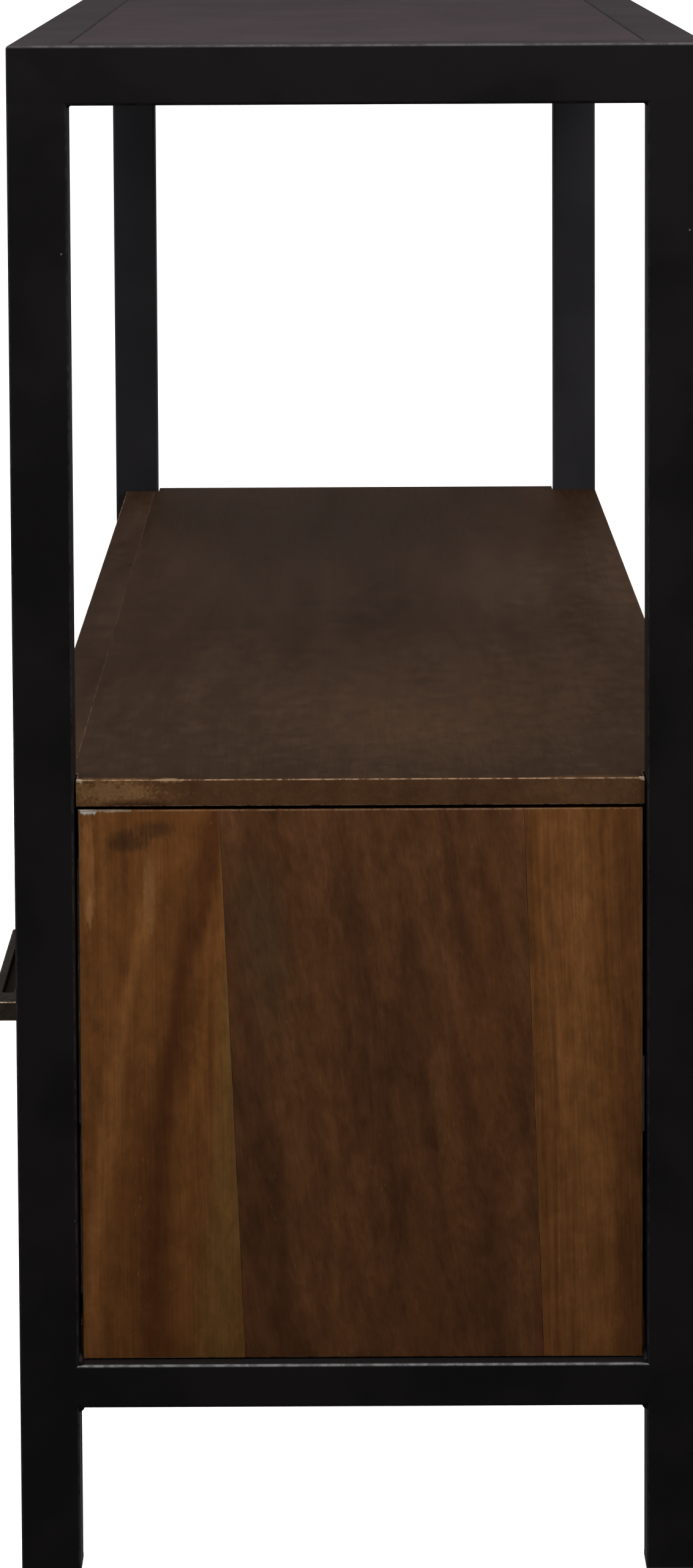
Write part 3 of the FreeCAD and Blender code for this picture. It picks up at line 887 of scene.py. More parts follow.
class Blank:
    """Mesh of one piece while it is being made."""

    def __init__(self) -> None:
        """Start an empty mesh."""
        self.mesh = bmesh.new()
        self.worn = self.mesh.verts.layers.float.new("arris")
        self.sunk = self.mesh.verts.layers.float.new("groove")

    def loop(self, spots: Iterable[Vector], worn: Iterable[float] | float = 0.0) -> Ring:
        """Add a row of vertices.

        Args:
            spots: Their places.
            worn: Share of edge rounding, one for all or one for each.

        Returns:
            The vertices.
        """
        spots = list(spots)
        values = [worn] * len(spots) if isinstance(worn, (int, float)) else list(worn)
        row = []
        for spot, value in zip(spots, values):
            vertex = self.mesh.verts.new(spot)
            vertex[self.worn] = value
            row.append(vertex)
        return row

    def skin(self, first: Ring, second: Ring) -> None:
        """Join two rings of vertices with faces.

        Args:
            first: First ring.
            second: Second ring, of the same length.
        """
        for index in range(len(first)):
            after = (index + 1) % len(first)
            self.mesh.faces.new((first[index], first[after], second[after], second[index]))

    def cap(self, *rings: Ring) -> None:
        """Close a ring of vertices, leaving the area inside any further rings open.

        Args:
            *rings: The outer ring, then the rings of the openings in it.
        """
        if len(rings) == 1:
            self.mesh.faces.new(rings[0])
            return
        edges = []
        for ring in rings:
            for index, vertex in enumerate(ring):
                pair = (vertex, ring[(index + 1) % len(ring)])
                edges.append(self.mesh.edges.get(pair) or self.mesh.edges.new(pair))
        bmesh.ops.triangle_fill(self.mesh, use_beauty=True, edges=edges)

    def draw_out(self, outline: Outline, axis: Axis, start: float, end: float, ease: float = 0.0,
                 bore: Outline | None = None, pocket: Pocket | None = None, steps: int = 4) -> None:
        """Draw an outline out into a solid with eased arrises.

        Args:
            outline: Outline across the axis.
            axis: Axis to draw it along.
            start: Where it starts.
            end: Where it ends.
            ease: Radius of the arrises at both ends.
            bore: Outline of a hole from end to end.
            pocket: Groove sunk into the end.
            steps: Number of facets in an arris.
        """
        stations = [(start, 0.0, 0.0)]
        if ease > 0:
            turns = [math.pi / 2 * n / steps for n in range(steps + 1)]
            stations = [(start + ease * (1 - math.cos(a)), ease * (1 - math.sin(a)), math.sin(2 * a))
                        for a in turns]
        stations += [(start + end - t, depth, worn) for t, depth, worn in reversed(stations)]
        rings = []
        for number, (along, depth, worn) in enumerate(stations):
            capped = ease > 0 and number in (0, len(stations) - 1)
            values = [0.0 if capped else max(worn, a) for a in outline.arris]
            rings.append(self.loop((axis.point(u, v, along) for u, v in outline.inset(depth)), values))
        for first, second in zip(rings, rings[1:]):
            self.skin(first, second)
        inner = [[], []]
        if bore:
            inner = [self.loop(axis.point(u, v, t) for u, v in bore.points) for t in (start, end)]
            self.skin(*inner)
            inner = [[inner[0]], [inner[1]]]
        if pocket:
            inner[1] = [self.sink(pocket, axis, end, steps)]
        self.cap(rings[0], *inner[0])
        self.cap(rings[-1], *inner[1])

    def sink(self, pocket: Pocket, axis: Axis, top: float, steps: int) -> Ring:
        """Add the walls and floor of a groove.

        Args:
            pocket: The groove.
            axis: Axis that it is sunk along.
            top: Height of the surface that it is sunk into.
            steps: Number of facets in its rim.

        Returns:
            The ring of vertices at its mouth.
        """
        rings = []
        for step in range(steps + 1):
            turn = math.pi / 2 * step / steps
            grown = pocket.outline.inset(-pocket.rim * (1 - math.sin(turn)))
            height = top - pocket.rim * (1 - math.cos(turn))
            worn = pocket.worn * math.sin(2 * turn)
            rings.append(self.loop((axis.point(u, v, height) for u, v in grown), worn))
        for depth in (pocket.rim + 0.0004, pocket.depth):
            rings.append(self.loop(axis.point(u, v, top - depth) for u, v in pocket.outline.points))
        # Mark the walls and floor for the painted shade in the groove.
        for vertex in (*rings[-1], *rings[-2]):
            vertex[self.sunk] = 1.0
        for first, second in zip(rings, rings[1:]):
            self.skin(first, second)
        self.cap(rings[-1])
        return rings[0]

    def lathe(self, profile: Sequence[Point2], centre: Point3, axis: Axis, steps: int = 40,
              facing: int = 1) -> list[Ring]:
        """Turn a profile round an axis.

        Args:
            profile: Pairs of radius and height, from the axis at one end to the axis at the other.
            centre: Point that the heights are counted from.
            axis: Axis of the lathe.
            steps: Number of facets round it.
            facing: 1 to count heights along the axis, or -1 against it.

        Returns:
            The rings of vertices.
        """
        middle = Vector(centre)
        u_axis, v_axis = axis.others()
        rings = []
        for radius, height in profile:
            spots = []
            for step in range(steps):
                turn = 2 * math.pi * step / steps
                spot = middle.copy()
                spot[u_axis] += radius * math.cos(turn)
                spot[v_axis] += radius * math.sin(turn)
                spot[axis.value] += facing * height
                spots.append(spot)
            rings.append(self.loop(spots))
        for first, second in zip(rings, rings[1:]):
            self.skin(first, second)
        self.cap(rings[0])
        self.cap(rings[-1])
        return rings

    def weld_bead(self, start: Vector, end: Vector, wall: Vector, other: Vector, leg: float,
                  seed: float) -> None:
        """Lay a rippled fillet weld in an inside corner.

        Args:
            start: Start of the corner line.
            end: End of the corner line.
            wall: Direction away from the corner along one wall.
            other: Direction away from the corner along the other wall.
            leg: Size of the fillet.
            seed: Number that makes this bead differ from the others.
        """
        length = (end - start).length
        count = max(8, int(length / 0.0005))
        rings = []
        for step in range(count + 1):
            spot = start.lerp(end, step / count)
            ripple = 0.07 * math.cos(2 * math.pi * length * step / count / 0.0021)
            wobble = 0.16 * noise.noise(Vector((step * 0.11, seed, 0.0)))
            size = leg * (0.92 + ripple + wobble)
            if step in (0, count):
                size *= 0.55
            ring = [spot - (wall + other) * 0.0004]
            for part in range(7):
                share = part / 6
                crown = 0.13 * math.sin(math.pi * share)
                ring.append(spot + wall * size * (1 - share + crown) + other * size * (share + crown))
            rings.append(self.loop(ring))
        for first, second in zip(rings, rings[1:]):
            self.skin(first, second)
        self.cap(rings[0])
        self.cap(rings[-1])

    def made(self, name: str) -> bpy.types.Object:
        """Close the mesh into an object.

        Args:
            name: Name of the piece.

        Returns:
            The object, with smooth arrises and flat flats.
        """
        bmesh.ops.remove_doubles(self.mesh, verts=self.mesh.verts[:], dist=TINY)
        bmesh.ops.dissolve_degenerate(self.mesh, edges=self.mesh.edges[:], dist=TINY)
        bmesh.ops.recalc_face_normals(self.mesh, faces=self.mesh.faces[:])
        for face in self.mesh.faces:
            face.smooth = True
        for edge in self.mesh.edges:
            if len(edge.link_faces) == 2 and edge.calc_face_angle(0.0) > SHARP:
                edge.smooth = False
        data = bpy.data.meshes.new(name)
        self.mesh.to_mesh(data)
        self.mesh.free()
        piece = bpy.data.objects.new(name, data)
        bpy.context.scene.collection.objects.link(piece)
        flats = piece.modifiers.new("flat_faces", "WEIGHTED_NORMAL")
        flats.weight = 100
        flats.keep_sharp = True
        return piece


# ---------------------------------------------------------------------------------------------
# Sub-assemblies
# ---------------------------------------------------------------------------------------------


@dataclass
class Assembly:
    """Base of the sub-assemblies: it dresses, hangs and counts the pieces.

    Attributes:
        body: CAD body that the pieces ride on.
        made: Names of the pieces made so far.
    """

    body: str = "carcass"
    made: list[str] = field(default_factory=list)

    def hang(self, blank: Blank, name: str, finish: Finish, slot: str, *nodes: str,
             body: str | None = None) -> bpy.types.Object:
        """Turn a blank into a finished piece that rides on a body.

        Args:
            blank: The mesh.
            name: Name of the piece.
            finish: Its finish.
            slot: Not used.
            *nodes: CAD nodes that it stands for.
            body: Body that it rides on, if not this assembly's own.

        Returns:
            The piece.
        """
        piece = blank.made(name)
        piece.data.materials.append(mixed(finish))
        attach(piece, body or self.body)
        if nodes:
            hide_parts(*nodes)
        self.made.append(name)
        log.info("%s: %s, %s", type(self).__name__, name, finish.name)
        return piece

    def dress(self, node: str, finish: Finish, slot: str) -> None:
        """Give a CAD node that is shown as it is a finish of its own.

        Args:
            node: Name of the node.
            finish: Its finish.
            slot: Not used.
        """
        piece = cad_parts[node]
        piece.data.materials.clear()
        piece.data.materials.append(mixed(finish))
        self.made.append(node)
        log.info("%s: %s, %s", type(self).__name__, node, finish.name)

    def board(self, node: str, finish: WoodFinish, slot: str, ease: float,
              body: str | None = None) -> None:
        """Make a plain board with eased arrises in place of a CAD node.

        Args:
            node: Name of the node and of the piece.
            finish: Its finish.
            slot: Not used; handed on to hang.
            ease: Radius of its arrises.
            body: Body that it rides on, if not this assembly's own.
        """
        low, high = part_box(node)
        sizes = high - low
        axis = Axis(min(range(3), key=lambda n: sizes[n]))
        u, v = axis.others()
        outline = Outline.box((low[u], low[v]), (high[u], high[v]), ease)
        blank = Blank()
        blank.draw_out(outline, axis, low[axis.value], high[axis.value], ease)
        self.hang(blank, f"{node}_board", finish, slot, node, body=body)


@dataclass
class SteelFrame(Assembly):
    """Welded frame of square tube with a plate set flush in its top.

    Attributes:
        corner: Outside corner radius of the tubes.
        wall: Wall of the tubes.
        bead: Leg of the fillet welds.
        top_share: Size of the welds under the top, as a share of the others.
        trim: How far the welds under the top stop short of the post's corners.
        gap: How far the low rails' welds stop short of the rails' corners.
        rim_gap: The same for the welds on top of the end rails.
        blend: How far a tube runs into the weld that is ground flush.
        seam: Width of the seam round the plate.
    """

    corner: float = 0.002
    wall: float = 0.0015
    bead: float = 0.003
    top_share: float = 0.55
    trim: float = 0.004
    gap: float = 0.002
    rim_gap: float = 0.0006
    blend: float = 0.002
    seam: float = 0.0005

    def build(self) -> None:
        """Make every piece of the frame."""
        coat = PowderCoat("black_powder_coat")
        near = replace(coat, name="black_coat_right_posts", seed=2.0)
        # The left posts get a lighter copy of the coat: painted light on their faces seen across the open
        # bay.
        far = replace(coat, name="black_coat_left_posts_painted_light", seed=3.0, body=(0.0195, 0.0182, 0.0206),
                      bloom=(0.0235, 0.0220, 0.0246))
        for place in CORNERS:
            self.tube(f"{place}_post", far if place.endswith("left") else near, end=self.blend)
        # The rim colours of these coats are painted highlights on the arrises that face up.
        low_coat = replace(coat, name="black_coat_low_rails", dust_and_sheen=(0.009, 0.0082, 0.0085),
                           rim=(0.17, 0.165, 0.17))
        for place in ("left", "right"):
            self.tube(f"low_rail_{place}", low_coat, self.blend, self.blend)
        for place in ("front", "rear"):
            self.tube(f"low_rail_{place}", low_coat)
        for place in ("left", "centre", "right"):
            self.tube(f"top_bearer_{place}", coat)
        self.ring(replace(coat, name="black_coat_top_ring", seed=5.0, dust=0.9,
                          dust_and_sheen=(0.0225, 0.0162, 0.0184), rim=(0.072, 0.067, 0.068)))
        self.plate()
        self.welds(coat)

    def tube(self, node: str, finish: PowderCoat, start: float = 0.0, end: float = 0.0) -> None:
        """Make one straight square tube.

        Args:
            node: CAD node that it stands for.
            finish: Its finish.
            start: How far it runs on past its start, into a weld.
            end: How far it runs on past its end, into a weld.
        """
        low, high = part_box(node)
        sizes = high - low
        axis = Axis(max(range(3), key=lambda n: sizes[n]))
        u, v = axis.others()
        outside = Outline.box((low[u], low[v]), (high[u], high[v]), self.corner, 6)
        inside = Outline.box((low[u] + self.wall, low[v] + self.wall),
                             (high[u] - self.wall, high[v] - self.wall), self.corner * 0.4, 6)
        blank = Blank()
        blank.draw_out(outside, axis, low[axis.value] - start, high[axis.value] + end, bore=inside)
        self.hang(blank, f"{node}_tube", finish, "frame_paint", node)

    def ring(self, finish: PowderCoat) -> None:
        """Make the four mitred rails of the top, whose outside corners are ground round.

        Args:
            finish: Their finish.
        """
        low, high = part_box("top_rail_front")
        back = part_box("top_rail_rear")[1]
        width = high.y - low.y
        section = Outline.box((0.0, low.z), (width, high.z), self.corner, 6)
        corners = [Vector((low.x, low.y)), Vector((high.x, low.y)),
                   Vector((high.x, back.y)), Vector((low.x, back.y))]
        for index, place in enumerate(("front", "right", "rear", "left")):
            here, there = corners[index], corners[(index + 1) % 4]
            along = (there - here).normalized()
            inward = Vector((-along.y, along.x))
            blank = Blank()
            rings = []
            for end, way in ((here, 1), (there, -1)):
                turns = [math.pi / 4 * (1 - n / 4) for n in range(5)]
                for turn in turns if way > 0 else reversed(turns):
                    spots = []
                    for depth, height in section.points:
                        bend = max(self.corner - depth, 0.0)
                        shift = max(self.corner, depth) - bend * math.sin(turn)
                        reach = depth + bend * (1 - math.cos(turn))
                        spot = end + along * way * shift + inward * reach
                        spots.append(Vector((spot.x, spot.y, height)))
                    # Only the outer half of the section carries the arris mark, which keeps the wear and the
                    # painted rim highlight off the arrises next to the plate.
                    outer = [w if d < width / 2 else 0.0 for w, (d, _) in zip(section.arris, section.points)]
                    rings.append(blank.loop(spots, outer))
            for first, second in zip(rings, rings[1:]):
                blank.skin(first, second)
            blank.cap(rings[0])
            blank.cap(rings[-1])
            self.hang(blank, f"top_rail_{place}_mitred", finish, "frame_paint", f"top_rail_{place}")

    def plate(self) -> None:
        """Make the steel plate that lies flush inside the top rails, with paint in its seam."""
        low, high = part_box("top_panel")
        blank = Blank()
        seam = Outline.box((low.x - self.seam, low.y - self.seam), (high.x + self.seam, high.y + self.seam))
        blank.draw_out(seam, Axis.Z, low.z + 0.0002, low.z + 0.0012)
        outline = Outline.box((low.x, low.y), (high.x, high.y), 0.0015)
        blank.draw_out(outline, Axis.Z, low.z, high.z, 0.0006)
        # The plate's upper face takes the colour of the dust and painted sheen.
        finish = PowderCoat("black_coat_top_plate", (0.0085, 0.0072, 0.0076), (0.0125, 0.0105, 0.011),
                            dust=1.0, dust_and_sheen=(0.0315, 0.0208, 0.0255), rim=(0.012, 0.010, 0.010), wear=0.0,
                            rough=0.46, seed=9.0)
        self.hang(blank, "top_plate", finish, "top_paint", "top_panel")

    def welds(self, finish: PowderCoat) -> None:
        """Lay the fillet welds in the inside corners of the frame.

        Args:
            finish: Their finish.
        """
        blank = Blank()
        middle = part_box("cabinet_top")[0].z
        seed = 0.0
        for place in CORNERS:
            for start, end, wall, other in self.corner_beads(place):
                seed += 1.7
                leg = self.bead if start[2] < middle else self.bead * self.top_share
                blank.weld_bead(Vector(start), Vector(end), wall, other, leg, seed)
        self.hang(blank, "frame_weld_beads", replace(finish, name="black_coat_welds", rough=0.38),
                  "frame_paint")

    def corner_beads(self, place: str) -> list[tuple[Point3, Point3, Vector, Vector]]:
        """Find the inside corners to weld at one post.

        Args:
            place: Name of the post's place.

        Returns:
            For each bead its start, its end and the two directions away from the corner.
        """
        low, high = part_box(f"{place}_post")
        right, front = low.x > 0, low.y < 0
        to_middle = Vector((-1.0 if right else 1.0, 0.0, 0.0))
        inward = Vector((0.0, 1.0 if front else -1.0, 0.0))
        up, down = Vector((0.0, 0.0, 1.0)), Vector((0.0, 0.0, -1.0))
        x, y, top = low.x if right else high.x, high.y if front else low.y, high.z
        end_low, end_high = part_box("low_rail_right" if right else "low_rail_left")
        long_low, long_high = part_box("low_rail_front" if front else "low_rail_rear")
        end_side = end_low.x if right else end_high.x
        long_side = long_high.y if front else long_low.y
        under, over = end_low.z, end_high.z
        trim, gap, rim = self.trim, self.gap, self.rim_gap
        return [
            ((low.x + trim, y, top), (high.x - trim, y, top), inward, down),
            ((x, low.y + trim, top), (x, high.y - trim, top), to_middle, down),
            ((end_low.x + gap, y, under), (end_high.x - gap, y, under), inward, down),
            ((end_low.x + rim, y, over), (end_high.x - rim, y, over), inward, up),
            ((end_side, y, under + gap), (end_side, y, over - gap), inward, to_middle),
            ((x, long_low.y + gap, under), (x, long_high.y - gap, under), to_middle, down),
            ((x, long_side, under + gap), (x, long_side, long_high.z - gap), to_middle, inward),
        ]


@dataclass
class Feet(Assembly):
    """Plastic plugs in the ends of the posts, and the glides screwed into them.

    Attributes:
        disc: Radius of a glide's foot.
        thickness: Height of a glide's foot.
        stud: Radius of its stud.
        pitch: Pitch of the stud's thread.
    """

    disc: float = 0.014
    thickness: float = 0.006
    stud: float = 0.004
    pitch: float = 0.00125

    def build(self) -> None:
        """Make the glides and dress the plugs."""
        self.dress("foot_plugs", MouldedPlastic("black_plug_plastic"), "foot_plastic")
        blank = Blank()
        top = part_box("levelling_glides")[1].z
        for place in CORNERS:
            low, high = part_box(f"{place}_post")
            middle = ((low.x + high.x) / 2, (low.y + high.y) / 2, 0.0)
            r, h = self.disc, self.thickness
            foot = [(0.0005, 0.0), (r - 0.0015, 0.0), (r - 0.0004, 0.0005), (r, 0.0016), (r, h - 0.0022),
                    (r - 0.0005, h - 0.001), (r - 0.0016, h - 0.0004), (0.0075, h), (0.0068, h - 0.0001)]
            height = h
            while height + self.pitch < top - 0.0005:
                foot += [(self.stud - 0.0007, height + 0.1 * self.pitch),
                         (self.stud, height + 0.5 * self.pitch),
                         (self.stud, height + 0.6 * self.pitch)]
                height += self.pitch
            foot += [(self.stud - 0.0008, height), (self.stud - 0.0012, top), (0.0004, top)]
            blank.lathe(foot, middle, Axis.Z)
        finish = replace(MouldedPlastic("glide_plastic"), body=(0.02, 0.02, 0.021), rough=0.5)
        self.hang(blank, "glides_turned", finish, "foot_plastic", "levelling_glides")


STAIN = WoodFinish("stained_wood", Axis.X, (0.045, 0.018, 0.007), (0.09, 0.038, 0.0135),
                   (0.15, 0.066, 0.024))


@dataclass
class CabinetTop(Assembly):
    """Top board of the cabinet, which is the shelf of the open bay, with its front lipping.

    Attributes:
        ease: Radius of the arrises.
        seam: Share of the easing that the glued edges get.
        notch: Depth of the notches that clear the front posts, and the rear ones.
    """

    ease: float = 0.0009
    seam: float = 0.3
    notch: Point2 = (0.003, 0.036)

    def build(self) -> None:
        """Make the board and the lipping."""
        low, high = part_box("cabinet_top")
        strip_low, strip_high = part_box("cabinet_top_lipping")
        reach, edge = high.x, strip_high.x
        front, rear = low.y + self.notch[0], high.y - self.notch[1]
        corners = [(-edge, low.y), (edge, low.y), (edge, front), (reach, front), (reach, rear),
                   (edge, rear), (edge, high.y), (-edge, high.y), (-edge, rear), (-reach, rear),
                   (-reach, front), (-edge, front)]
        shares = [self.seam] + [1.0] * 11
        blank = Blank()
        blank.draw_out(Outline.drawn(corners, 0.0, shares), Axis.Z, low.z, high.z, self.ease)
        self.hang(blank, "shelf_board", self.shelf_finish(), "cabinet_wood", "cabinet_top")
        blank = Blank()
        outline = Outline.box((strip_low.x, strip_low.y), (strip_high.x, strip_high.y), self.ease,
                              shares=(1.0, 1.0, self.seam, 1.0))
        blank.draw_out(outline, Axis.Z, strip_low.z, strip_high.z, self.ease)
        finish = replace(self.shelf_finish(), name="wood_lipping", seed=4.6, patches=())
        self.hang(blank, "shelf_lipping", finish, "cabinet_wood", "cabinet_top_lipping")

    def shelf_finish(self) -> WoodFinish:
        """Describe the shelf board, with painted shade at both ends of its top, painted light in its middle
        and the worn places at its end.

        Returns:
            Its finish.
        """
        low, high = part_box("cabinet_top")
        gold, chip = (0.19, 0.10, 0.042), (0.42, 0.33, 0.24)
        end, middle, face = high.x, (low.z + high.z) / 2, 0.012
        end_grain, warm = (0.063, 0.0290, 0.0128), (0.083, 0.040, 0.0178)
        # The first two patches are painted shade on the top at its far and near ends; the third is painted
        # light in its middle.
        patches = (
            Patch((-end, 0.0, high.z), (0.62, 0.6, 0.3), (0.020, 0.0092, 0.0036), 0.55, 0.0, 0.1),
            Patch((end, 0.0, high.z), (0.34, 0.6, 0.3), (0.026, 0.0145, 0.0080), 0.60, 0.0, 0.1),
            Patch((0.38, 0.06, high.z), (0.34, 0.14, 0.3), (0.068, 0.034, 0.0165), 0.38, 0.0, 0.2),
            Patch((end + 0.0006, 0.0, middle), (0.0028, 0.5, 0.08), end_grain, 1.0, 0.3, 0.05),
            Patch((end, 0.150, middle), (face, 0.045, 0.020), warm, 0.75, 0.0, 0.4),
            Patch((end, -0.135, middle), (face, 0.050, 0.016), (0.108, 0.052, 0.019), 0.75, 0.0, 0.5),
            Patch((end, -0.135, middle + 0.001), (face, 0.030, 0.007), gold, 0.55, 0.25, 1.3),
            Patch((end, -0.120, low.z), (face * 0.5, 0.022, 0.0045), (0.034, 0.013, 0.006), 0.8, 0.2, 0.8),
            Patch((end, -0.100, high.z), (face * 0.5, 0.010, 0.002), (0.26, 0.15, 0.07), 0.7, 0.3, 0.7),
            Patch((end, low.y + 0.005, high.z), (0.004, 0.003, 0.002), chip, 0.8, 0.5, 0.7),
            Patch((end, high.y - 0.037, high.z), (0.004, 0.003, 0.002), chip, 0.8, 0.5, 0.7),
            Patch((end, 0.06, middle), (face, 0.05, 0.006), (0.055, 0.026, 0.013), 0.5, 0.0, 0.5),
        )
        return WoodFinish("wood_shelf", Axis.X, (0.0290, 0.0145, 0.0074), (0.0385, 0.0198, 0.0108),
                          (0.0485, 0.0255, 0.0140), seed=1.3, figure=0.07, contrast=0.1,
                          patches=patches, worn=(0.30, 0.19, 0.115), wear=0.85, rough=0.52, gloss=0.03)


@dataclass
class EndPanel(Assembly):
    """End of the cabinet, edge-glued from three upright boards.

    Attributes:
        side: End of the sideboard that it closes.
        ease: Radius of the arrises.
        seam: Share of the easing that the glued edges get.
        seams: For each glue line, its place from front to rear at the bottom and at the top.
        shade: Colour of the painted shade that darkens the foot of the boards.
    """

    side: Side = Side.RIGHT
    ease: float = 0.0012
    seam: float = 0.3
    seams: tuple[Point2, Point2] = ((-0.0570, -0.0705), (0.1198, 0.1085))
    shade: Colour = (0.028, 0.0085, 0.0018)

    def build(self) -> None:
        """Make the three boards."""
        node = f"end_panel_{self.side.value}"
        low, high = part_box(node)
        edges = [(low.y, low.y), *self.seams, (high.y, high.y)]
        finishes = (self.front_board(), self.middle_board(), self.rear_board())
        for index, finish in enumerate(finishes):
            (left_foot, left_head), (right_foot, right_head) = edges[index], edges[index + 1]
            corners = [(left_foot, low.z), (right_foot, low.z), (right_head, high.z), (left_head, high.z)]
            shares = (1.0, self.seam if index < 2 else 1.0, 1.0, self.seam if index > 0 else 1.0)
            blank = Blank()
            blank.draw_out(Outline.drawn(corners, 0.0, shares), Axis.X, low.x, high.x, self.ease)
            if self.side is Side.LEFT:
                finish = self.other_end(finish)
            self.hang(blank, f"{node}_board_{index + 1}", finish, "cabinet_wood", node)

    def foot_shade(self, strength: float) -> Streak:
        """Return the painted shade at the foot of a board.

        Args:
            strength: How dark it is.

        Returns:
            A band as wide as the panel, which fades out upwards.
        """
        return Streak(((0.05, 0.0), (0.28, 0.0)), (1.0, 1.0), self.shade, strength, (0.01, 0.18))

    def other_end(self, finish: WoodFinish) -> WoodFinish:
        """Return a board's finish with its figure moved, for the far end of the cabinet.

        Args:
            finish: Finish of the same board at the near end.

        Returns:
            The finish with another stretch of wood, moved bands and no worn places.
        """
        streaks = []
        for streak in finish.streaks:
            path = tuple((along - 0.02, 0.86 * across - 0.006) for along, across in streak.path)
            streaks.append(replace(streak, path=path, strength=0.8 * streak.strength))
        return replace(finish, name=f"{finish.name}_left", seed=finish.seed + 11.0,
                       streaks=tuple(streaks), patches=())

    def front_board(self) -> WoodFinish:
        """Describe the golden brown front board, with its dark red heart line.

        Returns:
            Its finish.
        """
        _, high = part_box("end_panel_right")
        red, gold, pale = (0.062, 0.0195, 0.0062), (0.215, 0.0870, 0.0250), (0.136, 0.0710, 0.0190)
        streaks = (
            Streak(((0.13, -0.0720), (0.2129, -0.0687), (0.2696, -0.0669), (0.3206, -0.0651),
                    (0.40, -0.0660)), (0.021, 0.005), pale, 0.75, (0.01, 0.05)),
            Streak(((0.13, -0.0955), (0.213, -0.0938), (0.2698, -0.0905), (0.3206, -0.0818),
                    (0.3686, -0.0745), (0.4023, -0.0701)), (0.010, 0.007), (0.150, 0.058, 0.0145), 0.65,
                   (0.02, 0.03)),
            Streak(((0.13, -0.1500), (0.1706, -0.1499), (0.2246, -0.1452), (0.2756, -0.1364),
                    (0.3378, -0.1289), (0.3969, -0.1145), (0.4362, -0.1086)), (0.010, 0.0055), gold, 0.7,
                   (0.02, 0.02)),
            Streak(((0.13, -0.1085), (0.185, -0.1110), (0.2416, -0.1115), (0.29, -0.1050),
                    (0.326, -0.0970), (0.3966, -0.0890), (0.4388, -0.0790), (0.47, -0.0740)),
                   (0.0195, 0.0090), (0.074, 0.0258, 0.0080), 0.85),
            Streak(((0.13, -0.1111), (0.2273, -0.1090), (0.2812, -0.1057), (0.3264, -0.1012),
                    (0.3771, -0.0897), (0.422, -0.0755), (0.47, -0.0703)), (0.0060, 0.0060), red, 0.7),
            Streak(((0.25, -0.0760), (0.34, -0.0765), (0.40, -0.0725)), (0.0022, 0.0022),
                   (0.085, 0.031, 0.010), 0.5, (0.03, 0.03)),
            self.foot_shade(0.38),
        )
        patches = (
            Patch((high.x, -0.1480, 0.430), (0.02, 0.0050, 0.042), (0.205, 0.084, 0.027), 0.75, 0.45, 0.5),
            Patch((high.x, -0.1470, 0.405), (0.02, 0.0022, 0.012), (0.26, 0.120, 0.048), 0.6, 0.45, 0.6),
            Patch((high.x, -0.1120, 0.415), (0.02, 0.0035, 0.026), (0.185, 0.094, 0.036), 0.55, 0.4, 0.7),
            Patch((high.x, -0.1240, 0.4460), (0.03, 0.016, 0.0085), (0.034, 0.0155, 0.0075), 0.7, 0.0, 0.35),
            Patch((high.x, -0.1100, 0.4530), (0.03, 0.015, 0.0070), (0.036, 0.0165, 0.0080), 0.6, 0.0, 0.35),
            Patch((high.x, -0.1480, 0.4650), (0.006, 0.006, 0.0030), (0.42, 0.38, 0.33), 0.95, 0.6, 0.6),
            Patch((high.x, -0.1330, 0.4650), (0.006, 0.012, 0.0016), (0.26, 0.21, 0.15), 0.85, 0.5, 0.6),
        )
        return WoodFinish("wood_end_front_board", Axis.Z, (0.099, 0.0362, 0.0101), (0.122, 0.0460, 0.0125),
                          (0.145, 0.0568, 0.0160), seed=2.2, figure=0.034, streaks=streaks,
                          patches=patches, gloss=0.06)

    def middle_board(self) -> WoodFinish:
        """Describe the dark middle board, whose figure runs down towards the rear.

        Returns:
            Its finish.
        """
        light, dark = (0.104, 0.0440, 0.0155), (0.040, 0.0165, 0.0070)
        streaks = (
            Streak(((0.13, -0.010), (0.2125, -0.0032), (0.2807, -0.0070), (0.326, -0.0207),
                    (0.3768, -0.0370), (0.42, -0.050)), (0.005, 0.004), light, 0.6, (0.05, 0.03)),
            Streak(((0.24, -0.026), (0.2695, -0.0349), (0.3261, -0.0512)), (0.005, 0.004), light, 0.5,
                   (0.04, 0.03)),
            Streak(((0.340, -0.0400), (0.385, -0.0460), (0.430, -0.0520)), (0.019, 0.018),
                   (0.047, 0.0262, 0.0118), 0.85, (0.05, 0.03)),
            Streak(((0.250, 0.0800), (0.350, 0.0840), (0.440, 0.0900)), (0.024, 0.020),
                   (0.082, 0.0285, 0.0098), 0.5, (0.08, 0.04)),
            Streak(((0.13, -0.034), (0.25, -0.040), (0.34, -0.054)), (0.014, 0.006), dark, 0.55,
                   (0.02, 0.04)),
            Streak(((0.36, 0.080), (0.3866, 0.0746), (0.4380, 0.0622)), (0.006, 0.005), dark, 0.6,
                   (0.05, 0.03)),
            Streak(((0.3711, 0.1075), (0.4532, 0.0849)), (0.006, 0.004), light, 0.45, (0.04, 0.03)),
            Streak(((0.20, 0.036), (0.2632, 0.0286), (0.3715, 0.0164), (0.44, 0.004)), (0.006, 0.005),
                   dark, 0.55, (0.05, 0.03)),
            Streak(((0.22, 0.068), (0.276, 0.0591), (0.3508, 0.0492)), (0.005, 0.005), light, 0.45,
                   (0.05, 0.04)),
            Streak(((0.13, 0.095), (0.24, 0.084), (0.33, 0.066)), (0.014, 0.006), dark, 0.45,
                   (0.02, 0.05)),
            Streak(((0.13, 0.050), (0.21, 0.044)), (0.010, 0.006), (0.080, 0.031, 0.0098), 0.5,
                   (0.02, 0.05)),
            self.foot_shade(0.34),
        )
        return WoodFinish("wood_end_middle_board", Axis.Z, (0.0525, 0.0212, 0.0086), (0.0740, 0.0296, 0.0114),
                          (0.096, 0.0390, 0.0150), seed=5.1, figure=0.026, streaks=streaks, lean=0.17,
                          contrast=0.10, gloss=0.06)

